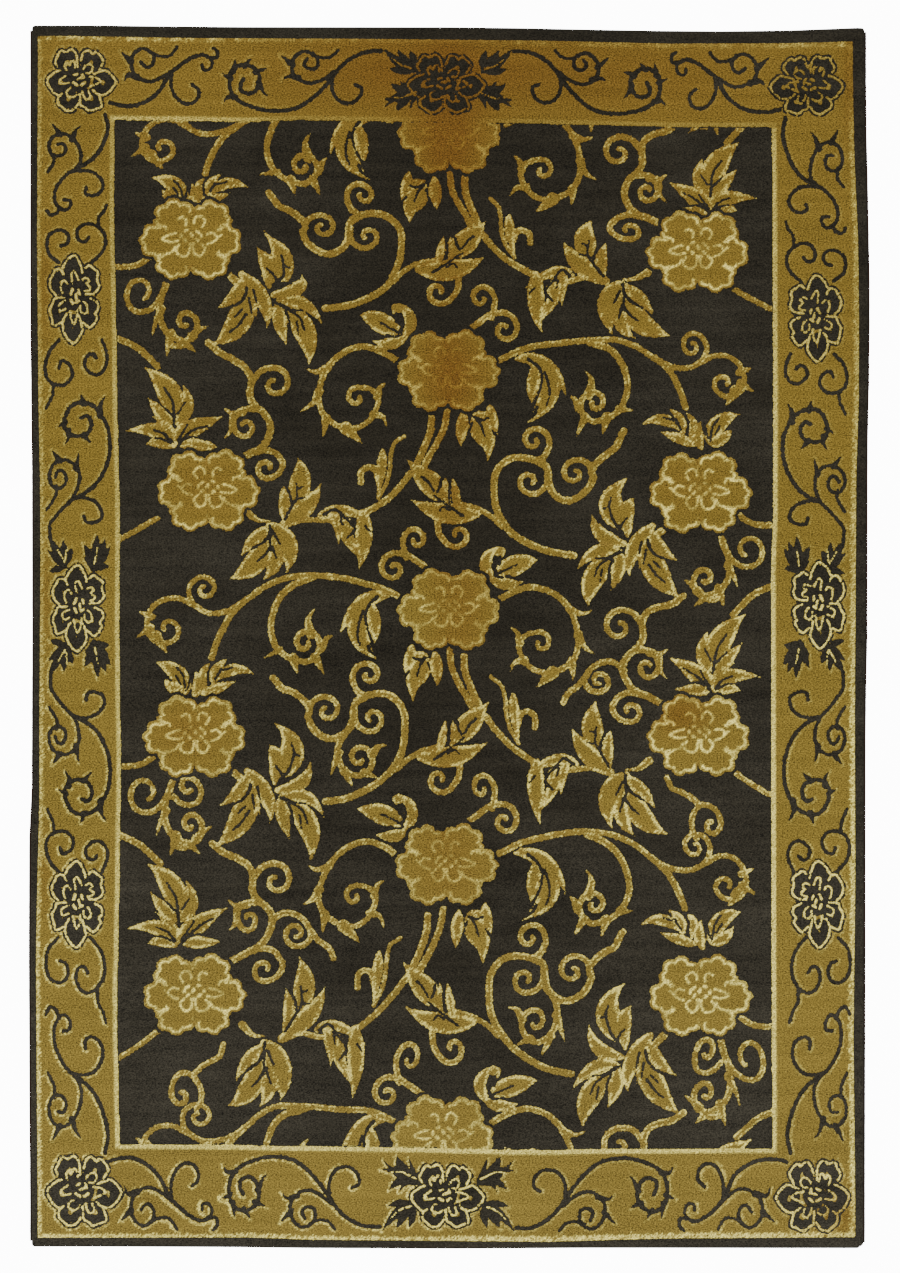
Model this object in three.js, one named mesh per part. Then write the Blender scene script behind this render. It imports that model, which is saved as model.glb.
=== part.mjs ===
// Hand-knotted wool rug lying flat, pile up: one knotted body and two overcast side cords.
// Millimetres, +Z up. The origin is the middle of the rug on the floor, +X is its right side and
// +Y its top end. The design is colour in the pile, so it isn't raised here.
import * as THREE from 'three';

// Driving dimensions, in millimetres
const RUG_WIDTH = 1700;
const RUG_LENGTH = 2485;
const PILE_TOP = 10;
const CORNER_RADIUS = 7;
const CORD_WIDTH = 4.5;
const CORD_HEIGHT = 6.5;
const SEWN_GAP = 0.3;

// How finely the body and the cords are divided
const BODY_COLUMNS = 12;
const SIDE_ROWS = 24;
const CORNER_STEPS = 4;
const CORD_SIDES = 10;

const HALF_WIDTH = RUG_WIDTH / 2;
const HALF_LENGTH = RUG_LENGTH / 2;

// How far each edge of the real rug strays outwards from a true rectangle. On the sides
// "at" is the place along Y, on the ends it is the place along X.
const LEFT_EDGE = [
  { at: -1242, out: 2.4 },
  { at: -900, out: 4.4 },
  { at: -640, out: 5.4 },
  { at: -400, out: 4.4 },
  { at: -310, out: -0.6 },
  { at: 0, out: -1.6 },
  { at: 280, out: -1.1 },
  { at: 700, out: 2.4 },
  { at: 1242, out: 2.4 },
];
const RIGHT_EDGE = [
  { at: -1242, out: -4.4 },
  { at: -650, out: -3.4 },
  { at: -170, out: -2.9 },
  { at: 0, out: 0.6 },
  { at: 380, out: 1.1 },
  { at: 490, out: 4.1 },
  { at: 680, out: 5.6 },
  { at: 880, out: 3.1 },
  { at: 990, out: -0.9 },
  { at: 1242, out: -2.4 },
];
const TOP_EDGE = [
  { at: -850, out: 2.0 },
  { at: -680, out: 3.0 },
  { at: -480, out: 0.0 },
  { at: 60, out: -0.5 },
  { at: 250, out: -5.0 },
  { at: 520, out: -9.0 },
  { at: 720, out: -7.0 },
  { at: 800, out: -4.0 },
  { at: 850, out: -1.0 },
];
const BOTTOM_EDGE = [
  { at: -850, out: -1.5 },
  { at: -500, out: -0.5 },
  { at: -250, out: 2.0 },
  { at: 20, out: 3.0 },
  { at: 300, out: 1.5 },
  { at: 850, out: 2.0 },
];

// The body's wall from the floor up: a firm foundation, then pile that rounds over at the rim.
const RIM_PROFILE = [
  { z: 0, inset: 0.8 },
  { z: 1.2, inset: 0 },
  { z: 6.5, inset: 0 },
  { z: 9, inset: 1.1 },
  { z: PILE_TOP, inset: 3.6 },
];

// Reads an edge table at one place, smoothly between its rows.
function strayAt(edge, place) {
  const last = edge.length - 1;
  const clamped = Math.min(Math.max(place, edge[0].at), edge[last].at);
  let row = 0;
  while (row < last - 1 && clamped > edge[row + 1].at) {
    row += 1;
  }
  const share = (clamped - edge[row].at) / (edge[row + 1].at - edge[row].at);
  const eased = share * share * (3 - 2 * share);
  return edge[row].out + (edge[row + 1].out - edge[row].out) * eased;
}

function leftSide(y) {
  return -HALF_WIDTH - strayAt(LEFT_EDGE, y);
}

function rightSide(y) {
  return HALF_WIDTH + strayAt(RIGHT_EDGE, y);
}

// A true rectangle's Y moved to the real rug's: the cloth stretches a little towards each end,
// so that the end edges stray as their tables say.
function stretchedY(x, y) {
  const topShare = Math.max(0, y / HALF_LENGTH);
  const bottomShare = Math.max(0, -y / HALF_LENGTH);
  return y + topShare * strayAt(TOP_EDGE, x) - bottomShare * strayAt(BOTTOM_EDGE, x);
}

// The rows between the corners, as places along Y. The body and the cords share them, so that
// the gap between the two stays even.
function sideRows() {
  const reach = HALF_LENGTH - CORNER_RADIUS;
  return Array.from({ length: SIDE_ROWS + 1 }, (_, step) => reach * ((2 * step) / SIDE_ROWS - 1));
}

// The rows that follow a corner's arc, from the end inwards: "fromEnd" is the place along Y and
// "drawnIn" is how much shorter the row is at each side.
function cornerRows(radius) {
  return Array.from({ length: CORNER_STEPS }, (_, step) => {
    const angle = (step / CORNER_STEPS) * (Math.PI / 2);
    return {
      fromEnd: radius * (1 - Math.cos(angle)),
      drawnIn: radius * (1 - Math.sin(angle)),
    };
  });
}

// The body seen from above, drawn in by an inset all round, as rows of points from the bottom
// end to the top one.
function bodySheet(inset) {
  const corner = cornerRows(CORNER_RADIUS - inset);
  const end = HALF_LENGTH - inset;
  const rows = [
    ...corner.map(({ fromEnd, drawnIn }) => ({ y: fromEnd - end, drawnIn })),
    ...sideRows().map((y) => ({ y, drawnIn: 0 })),
    ...corner.reverse().map(({ fromEnd, drawnIn }) => ({ y: end - fromEnd, drawnIn })),
  ];
  const sideMargin = CORD_WIDTH + SEWN_GAP + inset;
  return rows.map(({ y, drawnIn }) => {
    const left = leftSide(y) + sideMargin + drawnIn;
    const right = rightSide(y) - sideMargin - drawnIn;
    return Array.from({ length: BODY_COLUMNS + 1 }, (_, column) => {
      const x = left + ((right - left) * column) / BODY_COLUMNS;
      return new THREE.Vector2(x, stretchedY(x, y));
    });
  });
}

// The places of the sheet's rim in its rows, anticlockwise from the bottom left corner.
function rimPlaces(rowCount) {
  const lastRow = rowCount - 1;
  const rim = [];
  for (let column = 0; column < BODY_COLUMNS; column += 1) {
    rim.push({ row: 0, column });
  }
  for (let row = 0; row < lastRow; row += 1) {
    rim.push({ row, column: BODY_COLUMNS });
  }
  for (let column = BODY_COLUMNS; column > 0; column -= 1) {
    rim.push({ row: lastRow, column });
  }
  for (let row = lastRow; row > 0; row -= 1) {
    rim.push({ row, column: 0 });
  }
  return rim;
}

function geometryFrom(positions, triangles) {
  const geometry = new THREE.BufferGeometry();
  geometry.setAttribute('position', new THREE.Float32BufferAttribute(positions, 3));
  geometry.setIndex(triangles);
  geometry.computeVertexNormals();
  return geometry;
}

// One closed slab: a flat sheet below, the rim's profile round the edge and a flat sheet above.
function rugBodyGeometry() {
  const levels = RIM_PROFILE.map(({ z, inset }) => ({ z, sheet: bodySheet(inset) }));
  const rim = rimPlaces(levels[0].sheet.length);
  const positions = [];
  const triangles = [];

  const addVertex = (point, z) => {
    positions.push(point.x, point.y, z);
    return positions.length / 3 - 1;
  };
  const rings = levels.map(({ z, sheet }) => (
    rim.map(({ row, column }) => addVertex(sheet[row][column], z))
  ));
  const addCap = (ring, { z, sheet }, facesUp) => {
    const cap = sheet.map((points) => points.map(() => -1));
    rim.forEach(({ row, column }, index) => {
      cap[row][column] = ring[index];
    });
    for (let row = 1; row < sheet.length - 1; row += 1) {
      for (let column = 1; column < BODY_COLUMNS; column += 1) {
        cap[row][column] = addVertex(sheet[row][column], z);
      }
    }
    for (let row = 0; row < sheet.length - 1; row += 1) {
      for (let column = 0; column < BODY_COLUMNS; column += 1) {
        const a = cap[row][column];
        const b = cap[row][column + 1];
        const c = cap[row + 1][column + 1];
        const d = cap[row + 1][column];
        triangles.push(...(facesUp ? [a, b, c, a, c, d] : [a, c, b, a, d, c]));
      }
    }
  };
  for (let level = 0; level < rings.length - 1; level += 1) {
    const low = rings[level];
    const high = rings[level + 1];
    low.forEach((corner, index) => {
      const next = (index + 1) % low.length;
      triangles.push(corner, low[next], high[next], corner, high[next], high[index]);
    });
  }
  addCap(rings[0], levels[0], false);
  addCap(rings[rings.length - 1], levels[levels.length - 1], true);
  return geometryFrom(positions, triangles);
}

// The section of a side cord: a round wrapped cord that sits flat on the floor.
function cordSection() {
  const section = [];
  for (let side = 0; side < CORD_SIDES; side += 1) {
    const angle = (2 * Math.PI * (side + 0.5)) / CORD_SIDES - Math.PI / 2;
    const height = (CORD_HEIGHT / 2) * (1 + Math.sin(angle) / Math.cos(Math.PI / CORD_SIDES));
    section.push({ across: (CORD_WIDTH / 2) * Math.cos(angle), z: Math.max(0, height) });
  }
  return section;
}

// One side cord: the section carried along the rug's side edge, closed by a face at each end.
// outerEdge gives the edge's X at a place along Y, and inwardX points to the rug's middle.
function sideCordGeometry(outerEdge, inwardX) {
  const section = cordSection();
  const positions = [];
  const triangles = [];
  sideRows().forEach((y) => {
    const middle = outerEdge(y) + inwardX * (CORD_WIDTH / 2);
    section.forEach(({ across, z }) => positions.push(middle + across, stretchedY(middle, y), z));
  });
  for (let step = 0; step < SIDE_ROWS; step += 1) {
    for (let side = 0; side < CORD_SIDES; side += 1) {
      const next = (side + 1) % CORD_SIDES;
      const a = step * CORD_SIDES + side;
      const b = step * CORD_SIDES + next;
      const c = b + CORD_SIDES;
      const d = a + CORD_SIDES;
      triangles.push(a, d, c, a, c, b);
    }
  }
  const lastRing = SIDE_ROWS * CORD_SIDES;
  for (let side = 1; side < CORD_SIDES - 1; side += 1) {
    triangles.push(0, side, side + 1);
    triangles.push(lastRing, lastRing + side + 1, lastRing + side);
  }
  return geometryFrom(positions, triangles);
}

function pileMaterial() {
  return new THREE.MeshStandardMaterial({ color: 0x2f2c28, roughness: 0.95, metalness: 0 });
}

function overcastMaterial() {
  return new THREE.MeshStandardMaterial({ color: 0x3d2e27, roughness: 0.9, metalness: 0 });
}

function namedMesh(name, geometry, material) {
  const mesh = new THREE.Mesh(geometry, material);
  mesh.name = name;
  return mesh;
}

const rug = new THREE.Group();
rug.add(namedMesh('rug_body', rugBodyGeometry(), pileMaterial()));
rug.add(namedMesh('side_cord_left', sideCordGeometry(leftSide, 1), overcastMaterial()));
rug.add(namedMesh('side_cord_right', sideCordGeometry(rightSide, -1), overcastMaterial()));

export default rug;
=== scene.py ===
"""A hand-knotted wool rug with a flowering-vine design, lying flat with its pile up.

The pile's charcoal ground is one cloth. The golden design is knotted pile that stands a little
above it, worked out from a chart of vines, leaves and flowers. The chart's strokes were read off
enlarged crops of the photo. STRAYS was measured by sliding the chart over the photo. STRAYS was
measured by a scratch program.
"""
import logging
import math
from dataclasses import dataclass, field
from enum import Enum
from typing import Callable, Iterable, Optional

import bpy
import numpy as np
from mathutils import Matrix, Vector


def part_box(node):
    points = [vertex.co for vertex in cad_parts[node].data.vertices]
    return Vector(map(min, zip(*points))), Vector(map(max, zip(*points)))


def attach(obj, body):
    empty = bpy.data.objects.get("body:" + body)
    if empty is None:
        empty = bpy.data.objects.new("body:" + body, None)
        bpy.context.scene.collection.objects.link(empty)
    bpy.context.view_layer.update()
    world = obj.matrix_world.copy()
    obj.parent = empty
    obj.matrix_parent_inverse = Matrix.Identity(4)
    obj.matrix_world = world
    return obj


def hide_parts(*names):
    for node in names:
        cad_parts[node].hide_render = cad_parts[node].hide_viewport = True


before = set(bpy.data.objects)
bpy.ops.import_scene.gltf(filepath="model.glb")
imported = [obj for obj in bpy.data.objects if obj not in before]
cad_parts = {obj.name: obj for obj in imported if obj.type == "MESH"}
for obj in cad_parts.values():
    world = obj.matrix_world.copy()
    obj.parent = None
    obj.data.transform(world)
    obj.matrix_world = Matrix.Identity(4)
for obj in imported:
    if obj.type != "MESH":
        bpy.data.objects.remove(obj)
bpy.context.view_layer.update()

SQUARE = 0.00204
"""Side of one square of the design, in metres. Every drawn size below counts squares."""

REPEAT_RISE = 246
"""Half the height of the field's repeat. The next half is its mirror image."""

Point = tuple[float, float]
Tone = tuple[float, float, float]


class Line(Enum):
    """The kinds of line that the chart is drawn with."""

    VINE = "even, with round ends"
    THORN = "wide at its root, pointed at its tip"
    BLADE = "a leaf's lobe, pointed at its tip"
    GAP = "a dark vein between two golden lobes"


@dataclass(frozen=True)
class Curl:
    """The spiral that a vine ends in.

    Args:
        x: Squares from the chart's middle to the spiral's, to the right.
        y: The same, upwards.
        turn: Degrees that the vine goes round, positive to the left.
        end_radius: Distance from the spiral's middle to its inner end.
    """

    x: float
    y: float
    turn: float
    end_radius: float


@dataclass(frozen=True)
class DrawnLine:
    """One stroke of the chart, through its points in order."""

    kind: Line
    width: float
    points: tuple[Point, ...]
    curl: Optional[Curl] = None


def vine(width: float, *points: Point, curl: Optional[Curl] = None) -> DrawnLine:
    """Returns a vine of even width, which may end in a spiral."""
    return DrawnLine(Line.VINE, width, points, curl)


def thorn(width: float, *points: Point) -> DrawnLine:
    """Returns a thorn, from its root to its tip."""
    return DrawnLine(Line.THORN, width, points)


def blade(width: float, *points: Point) -> DrawnLine:
    """Returns a leaf's lobe, from its root to its tip."""
    return DrawnLine(Line.BLADE, width, points)


def gap(width: float, *points: Point) -> DrawnLine:
    """Returns a vein that parts two lobes."""
    return DrawnLine(Line.GAP, width, points)


FIELD_LINES = (
    vine(7, (-47, 11), (-73, 23), (-103, 29), (-138, 32), (-163, 29), (-186, 19), (-205, 5),
          (-223, -4), (-241, -5), (-256, 3), (-270, 10), (-285, 9), (-296, 1), (-301, -11),
          curl=Curl(-281, -20, 400, 3)),
    vine(6, (-250, -1), (-258, 7), (-261, 16), curl=Curl(-245, 19, -450, 3)),
    vine(7, (-203, 7), (-216, -5), (-226, -20), (-233, -35), (-238, -51)),
    vine(7.5, (-138, 30), (-158, 21), (-171, 7), (-178, -11), (-179, -27), (-173, -43),
          (-160, -53), (-144, -57), curl=Curl(-145, -38, 450, 3)),
    thorn(10, (-139, -29), (-142, -14), (-135, -2)),
    thorn(8, (-128, -43), (-123, -33), (-114, -28)),
    thorn(10, (-157, -53), (-152, -69)),
    thorn(9, (-135, -52), (-125, -68)),
    thorn(7, (-170, -45), (-186, -52)),
    thorn(7, (-296, -8), (-310, -2)),
    thorn(8, (-297, -19), (-312, -29)),
    thorn(11, (-292, -27), (-281, -47)),
    vine(6, (-340, 63), (-313, 77), (-290, 91)),
    blade(13, (-179, 81), (-197, 71), (-207, 52)),
    blade(23, (-182, 68), (-190, 38), (-219, 29)),
    blade(15, (-175, 61), (-169, 42), (-186, 27)),
    gap(3, (-178, 83), (-178, 58)),
    gap(3.4, (-178, 73), (-186, 66), (-196, 60)),
    gap(3, (-178, 61), (-183, 54), (-191, 47)),
    blade(23, (-178, 82), (-152, 66), (-163, 35)),
    blade(12, (-177, 75), (-170, 55), (-166, 43)),
    gap(3, (-175, 77), (-168, 65)),
    gap(2.6, (-176, 63), (-172, 50)),
    blade(22, (-155, 99), (-142, 125), (-148, 151)),
    blade(19, (-164, 83), (-138, 93), (-127, 121)),
    blade(12.5, (-163, 86), (-163, 104), (-164, 122)),
    gap(2.8, (-163, 87), (-156, 98), (-151, 107), (-151, 122)),
    gap(2.2, (-151, 105), (-143, 106)),
    gap(2.2, (-150, 116), (-145, 118)),
    gap(3, (-156, 100), (-158, 111), (-161, 120)),
    thorn(8, (-201, 96), (-190, 89), (-177, 87)),
    vine(6, (-165, 84), (-143, 85), (-117, 87)),
    blade(12, (-129, 90), (-103, 107), (-75, 81)),
    blade(18, (-86, 95), (-83, 67), (-91, 38)),
    blade(10, (-118, 95), (-109, 84), (-111, 63)),
    blade(13, (-108, 89), (-104, 70), (-90, 49)),
    blade(10, (-104, 89), (-97, 79), (-104, 69)),
    gap(3.2, (-125, 91), (-115, 97), (-107, 93), (-101, 87)),
    gap(2.6, (-106, 91), (-98, 84), (-94, 76)),
    gap(2.8, (-94, 78), (-98, 73), (-102, 69)),
    gap(2.2, (-108, 89), (-106, 82)),
    gap(2.4, (-84, 82), (-79, 76)),
    blade(17, (-66, 15), (-88, 12), (-107, -25)),
    blade(8, (-60, 13), (-74, 15), (-76, 0)),
    blade(14, (-76, 8), (-67, -15), (-72, -33)),
    blade(22, (-82, 9), (-95, -29), (-73, -51)),
    gap(3.4, (-70, 13), (-77, 5), (-80, -5)),
    gap(2.6, (-80, -4), (-78, -17), (-75, -29)),
    gap(2.8, (-82, 0), (-86, -12), (-88, -24), (-87, -35)),
    gap(3.4, (-78, -36), (-78, -42), (-74, -47)),
    vine(7.5, (-176, -72), (-167, -82), (-156, -85), (-145, -92), (-139, -101), (-141, -110),
          (-136, -122), (-125, -130), (-113, -131), (-102, -124), (-97, -113), (-96, -101),
          (-92, -93), (-84, -89)),
    vine(6.5, (-140, -104), (-137, -95), curl=Curl(-122, -103, -400, 3)),
    vine(7, (-84, -90), (-93, -84), (-98, -73), curl=Curl(-82, -68, -390, 3)),
    vine(7.5, (-94, -95), (-80, -88), (-63, -87), (-51, -94), (-44, -107), (-43, -123),
          (-45, -141), (-52, -155), (-64, -168), (-80, -179), (-103, -189), (-128, -193)),
    vine(6, (-13, -142), (-28, -145), (-41, -152), (-53, -162)),
    vine(6.5, (-95, -103), (-95, -113), curl=Curl(-78, -112, 400, 3)),
    vine(7, (1, -41), (3, -57), (10, -74), (18, -89), (23, -101)),
    vine(7.5, (15, -46), (16, -61), (22, -78), (30, -97)),
    blade(12, (-36, -37), (-38, -51), (-44, -66)),
    blade(9, (-22, -45), (-34, -44), (-43, -54)),
    blade(18, (-23, -48), (-38, -63), (-35, -93)),
    blade(14, (-22, -49), (-23, -65), (-34, -80)),
    blade(13, (-13, -44), (-11, -60), (-11, -77)),
    gap(2.6, (-23, -48), (-28, -56), (-31, -66)),
    gap(2.8, (-22, -48), (-29, -50), (-35, -48)),
    gap(2.8, (-43, -66), (-38, -60)),
    gap(2.4, (-20, -53), (-18, -61)),
    blade(24, (5, -134), (18, -123), (40, -94)),
    blade(21, (-27, -150), (8, -157), (37, -138)),
    blade(9, (-10, -149), (-7, -130), (-4, -114)),
    blade(9, (1, -145), (3, -130), (2, -115)),
    gap(2.8, (-14, -153), (0, -144), (14, -134)),
    gap(2.6, (-1, -126), (-1, -141)),
    gap(3, (7, -118), (8, -125), (11, -131)),
    gap(2.8, (26, -114), (19, -121), (14, -130)),
    gap(2.2, (-1, -148), (5, -145), (9, -149)),
    vine(7, (37, -110), (49, -125), (64, -139), (87, -153)),
    vine(4.5, (70, -135), (62, -121), (58, -105), (57, -91), (53, -77), (42, -67)),
    blade(11, (65, -87), (66, -105), (71, -136)),
    vine(6.5, (70, -116), (73, -106), (80, -104), (87, -109), (87, -120)),
    vine(7, (-22, 39), (-33, 47), (-44, 54), (-56, 56), curl=Curl(-57, 40, 400, 3)),
    vine(6.5, (-45, 51), (-47, 61), curl=Curl(-34, 69, -390, 3)),
    vine(7, (-11, 89), (-10, 76), (-3, 66), curl=Curl(9, 74, 330, 3)),
    blade(14, (42, 29), (29, 50), (52, 61)),
    thorn(9, (50, 56), (55, 56), (54, 49)),
    blade(21, (50, 34), (72, 45), (94, 47)),
    blade(13, (43, 29), (56, 18), (76, 25)),
    gap(3.2, (48, 33), (44, 41), (46, 50)),
    gap(2.6, (49, 33), (58, 37), (70, 42)),
    gap(2.6, (46, 31), (53, 29), (61, 31)),
    gap(2.4, (51, 42), (53, 47)),
    vine(7, (49, 6), (64, 14), (82, 19), (98, 16), (112, 7), (122, -6), (128, -23), (129, -39),
          (123, -53), (110, -62), (94, -64), (80, -57), (72, -45), (70, -33), (78, -25),
          (89, -23), curl=Curl(92, -34, -300, 3)),
    thorn(8, (120, -3), (132, -7), (144, -3)),
    thorn(9, (129, -27), (135, -38), (146, -46)),
    thorn(9, (123, -53), (125, -73)),
    thorn(13, (104, -64), (88, -79)),
    thorn(8, (76, -51), (66, -53), (61, -63)),
    thorn(8, (71, -33), (68, -23), (61, -18)),
    blade(19, (262, -83), (253, -65), (221, -51)),
    blade(10, (264, -83), (260, -69), (254, -58)),
    blade(13, (262, -83), (247, -84), (227, -82)),
    gap(2.8, (263, -85), (253, -73), (246, -67), (236, -62)),
    gap(2.6, (262, -81), (250, -76), (240, -77)),
    gap(2.4, (262, -80), (257, -72), (253, -64)),
    blade(17, (266, -83), (274, -64), (312, -71)),
    blade(11, (266, -84), (266, -67), (287, -56)),
    blade(12, (267, -86), (280, -79), (292, -85)),
    gap(2.8, (267, -82), (274, -74), (284, -70)),
    gap(2.6, (268, -83), (276, -79), (283, -78)),
    blade(25, (266, -55), (268, -30), (297, -8)),
    blade(16, (264, -63), (249, -48), (260, -25)),
    blade(14, (265, -64), (278, -56), (294, -37)),
    gap(3, (265, -67), (267, -52), (270, -41), (279, -28)),
    gap(2.4, (263, -54), (257, -43)),
    gap(2.6, (267, -57), (279, -46)),
    vine(7, (285, -8), (296, 4), (307, 13), (330, 23)),
    vine(7.5, (274, 75), (277, 62), (282, 50), (283, 37), (279, 25), (270, 17), (259, 13),
          (249, 16), (246, 23), curl=Curl(257, 30, -330, 3)),
    vine(6.5, (279, 57), (285, 47), curl=Curl(303, 56, 390, 7)),
    thorn(8, (281, 41), (287, 29), (290, 18)),
    thorn(10, (271, 19), (276, 0)),
    thorn(8, (258, 12), (246, 2)),
    thorn(9, (251, 17), (244, 24), (235, 30)),
    vine(6, (255, 10), (264, 8), (274, 11)),
    blade(22, (171, 82), (148, 108), (180, 131)),
    blade(12, (171, 84), (168, 100), (172, 120)),
    blade(15, (176, 65), (146, 69), (144, 94)),
    blade(19, (176, 80), (174, 97), (186, 110)),
    blade(9, (179, 72), (180, 85), (185, 97)),
    gap(3, (174, 76), (166, 86), (161, 101), (163, 111)),
    gap(2.4, (171, 74), (163, 79), (159, 78)),
    gap(2.6, (172, 79), (175, 85), (180, 90)),
    gap(2.4, (161, 101), (155, 99)),
    blade(14, (172, 58), (146, 66), (129, 38)),
    blade(23, (165, 52), (138, 31), (140, 1)),
    blade(15, (171, 58), (174, 38), (164, 19)),
    gap(2.8, (173, 57), (160, 50), (152, 44), (147, 33)),
    gap(2.8, (166, 50), (163, 44), (161, 32)),
    gap(2.2, (155, 40), (153, 28)),
    gap(2.6, (171, 57), (160, 52), (149, 51)),
    blade(17, (204, 83), (177, 60), (182, 33)),
    blade(10, (196, 71), (195, 55), (190, 41)),
    gap(2.8, (193, 68), (190, 56)),
    gap(2.4, (197, 60), (195, 46)),
    blade(14, (202, 78), (207, 61), (229, 49)),
    blade(26, (198, 66), (203, 32), (231, 12)),
    gap(3.4, (199, 70), (201, 62), (207, 55), (216, 51)),
    gap(2.8, (200, 45), (207, 35), (216, 27)),
    gap(2.2, (204, 49), (211, 42)),
    vine(8, (217, 83), (205, 72)),
    vine(7.5, (235, 13), (224, 5), (212, 2), (202, -3), (197, -13), (197, -28), (192, -39),
          (181, -48), (174, -59), (176, -71), (184, -81), (197, -87), (214, -96)),
    vine(7, (197, -17), (190, -6), curl=Curl(174, -18, 400, 4)),
    vine(7, (187, -43), (200, -44), (209, -51), (211, -60), curl=Curl(199, -61, -330, 4)),
    thorn(9, (202, -46), (212, -48), (221, -42)),
    thorn(8, (211, -53), (213, -65), (220, -73)),
    vine(7, (194, -86), (180, -83), (169, -87), (163, -97), curl=Curl(179, -101, 390, 3)),
    vine(6.5, (289, 95), (300, 86), (312, 81), (332, 80)),
    blade(18, (-262, -85), (-269, -64), (-294, -57)),
    blade(13, (-263, -88), (-277, -87), (-285, -74)),
    blade(12, (-254, -92), (-247, -78), (-254, -66)),
    gap(2.4, (-272, -63), (-266, -72), (-263, -87)),
    gap(2.4, (-273, -72), (-268, -80)),
    gap(2.4, (-258, -72), (-261, -84)),
    blade(11, (-235, -78), (-237, -61), (-221, -52)),
    blade(12, (-233, -73), (-214, -55), (-194, -69)),
    blade(11, (-246, -89), (-230, -82), (-213, -75)),
    blade(10, (-244, -82), (-249, -65), (-239, -57)),
    gap(3, (-228, -63), (-234, -74)),
    gap(2.4, (-241, -66), (-241, -78)),
    gap(2.2, (-226, -64), (-216, -61)),
)
"""One repeat of the field, in squares from its middle flower."""

MIDDLE_BAND_LINES = (
    vine(7, (-98, -120), (-107, -131), (-112, -144), (-109, -158), curl=Curl(-90, -151, 480, 3.5)),
    thorn(9, (-77, -148), (-71, -140), (-61, -137)),
    thorn(8, (-86, -165), (-72, -170)),
    thorn(9, (-106, -163), (-97, -179)),
    thorn(9, (-111, -146), (-120, -167)),
    vine(6.5, (116, -97), (120, -87), (129, -80), (136, -71), (142, -61), (152, -55),
          (164, -54), (175, -62)),
    vine(6.5, (135, -72), (138, -80), curl=Curl(150, -73, 420, 3)),
)
"""Curls that only the two middle bands have."""

LOWER_BAND_LINES = (
    vine(6, (-219, 81), (-223, 72), (-232, 68), (-242, 64), (-250, 58), (-245, 52), (-242, 44),
          (-243, 34), (-247, 27)),
    vine(6, (-249, 58), (-258, 59), (-267, 57), (-273, 49), (-272, 39), (-265, 32), (-258, 35),
          (-258, 42), (-262, 43)),
    vine(6, (274, 53), (267, 48), (257, 47), (249, 52), (247, 61), (251, 69), (258, 72),
          (265, 69), (266, 62), (261, 58), (257, 60)),
)
"""Curls that only the two lower bands have."""

END_BORDER_LINES = (
    vine(4.5, (79, 85), (91, 88), (105, 87), (119, 79), (129, 68), (138, 50), (147, 40),
          (159, 30), (170, 25), (178, 28)),
    vine(3.6, (177, 27), (181, 34), (178, 42), (172, 42), (171, 36)),
    vine(4, (177, 28), (185, 28), (186, 21), (182, 16)),
    vine(4, (143, 43), (132, 52), (121, 58), (111, 57), (103, 50), (100, 38), (103, 27),
          (111, 20), (119, 23), (123, 30), (121, 39), (115, 42), (110, 36)),
    thorn(7, (106, 54), (97, 52), (93, 60)),
    thorn(6, (100, 36), (89, 24)),
    vine(3.6, (119, 24), (129, 28), (139, 27), (146, 17)),
    vine(4, (141, 45), (140, 61), (144, 74), (152, 82), (161, 82), (167, 75), (167, 66),
          (161, 60)),
    vine(4.5, (300, 46), (289, 62), (274, 78), (259, 87), (239, 89), (224, 86), (209, 79),
          (200, 68), (198, 54), (201, 42), (209, 36), (217, 36), (225, 42), (228, 52),
          (225, 64), (218, 69), (210, 66), (209, 59), (212, 52)),
    thorn(6, (204, 74), (196, 74), (192, 81)),
    thorn(5, (200, 52), (190, 47)),
    thorn(6, (202, 43), (204, 29)),
    thorn(5, (213, 37), (220, 27)),
    thorn(6, (224, 44), (236, 39)),
    thorn(6, (227, 56), (231, 66), (236, 72)),
    vine(4.5, (299, 47), (309, 34), (321, 25), (334, 20), (349, 19)),
    vine(4, (299, 46), (298, 62), (303, 74), (311, 79), (320, 78), (327, 71), (328, 62),
          (321, 58)),
    vine(4, (300, 42), (291, 50), (281, 55), (272, 55), (263, 49), (259, 38), (262, 26),
          (270, 19), (279, 21), (284, 28), (283, 37), (276, 39), (271, 34), (274, 27)),
    thorn(6, (266, 50), (256, 48), (251, 53)),
    thorn(6, (260, 35), (249, 23)),
    vine(3.6, (279, 23), (289, 26), (298, 24), (304, 17)),
    blade(10, (386, 68), (371, 78), (350, 76)),
    blade(8, (379, 74), (365, 83), (366, 90)),
    blade(8, (383, 66), (369, 66), (352, 86)),
    blade(9, (383, 68), (367, 68), (358, 56)),
    thorn(6, (386, 66), (381, 78), (378, 88)),
    thorn(6, (386, 64), (374, 62), (368, 54)),
    gap(2, (385, 67), (371, 74), (361, 74)),
    blade(10, (382, 43), (365, 36), (351, 15)),
    blade(8, (381, 42), (367, 44), (357, 40)),
    blade(9, (381, 40), (371, 30), (365, 17)),
    blade(8, (382, 39), (382, 28), (378, 18)),
    gap(2, (380, 40), (369, 36), (360, 28)),
)
"""A quarter of the border along the short end, in squares from the bottom left corner."""

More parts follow.
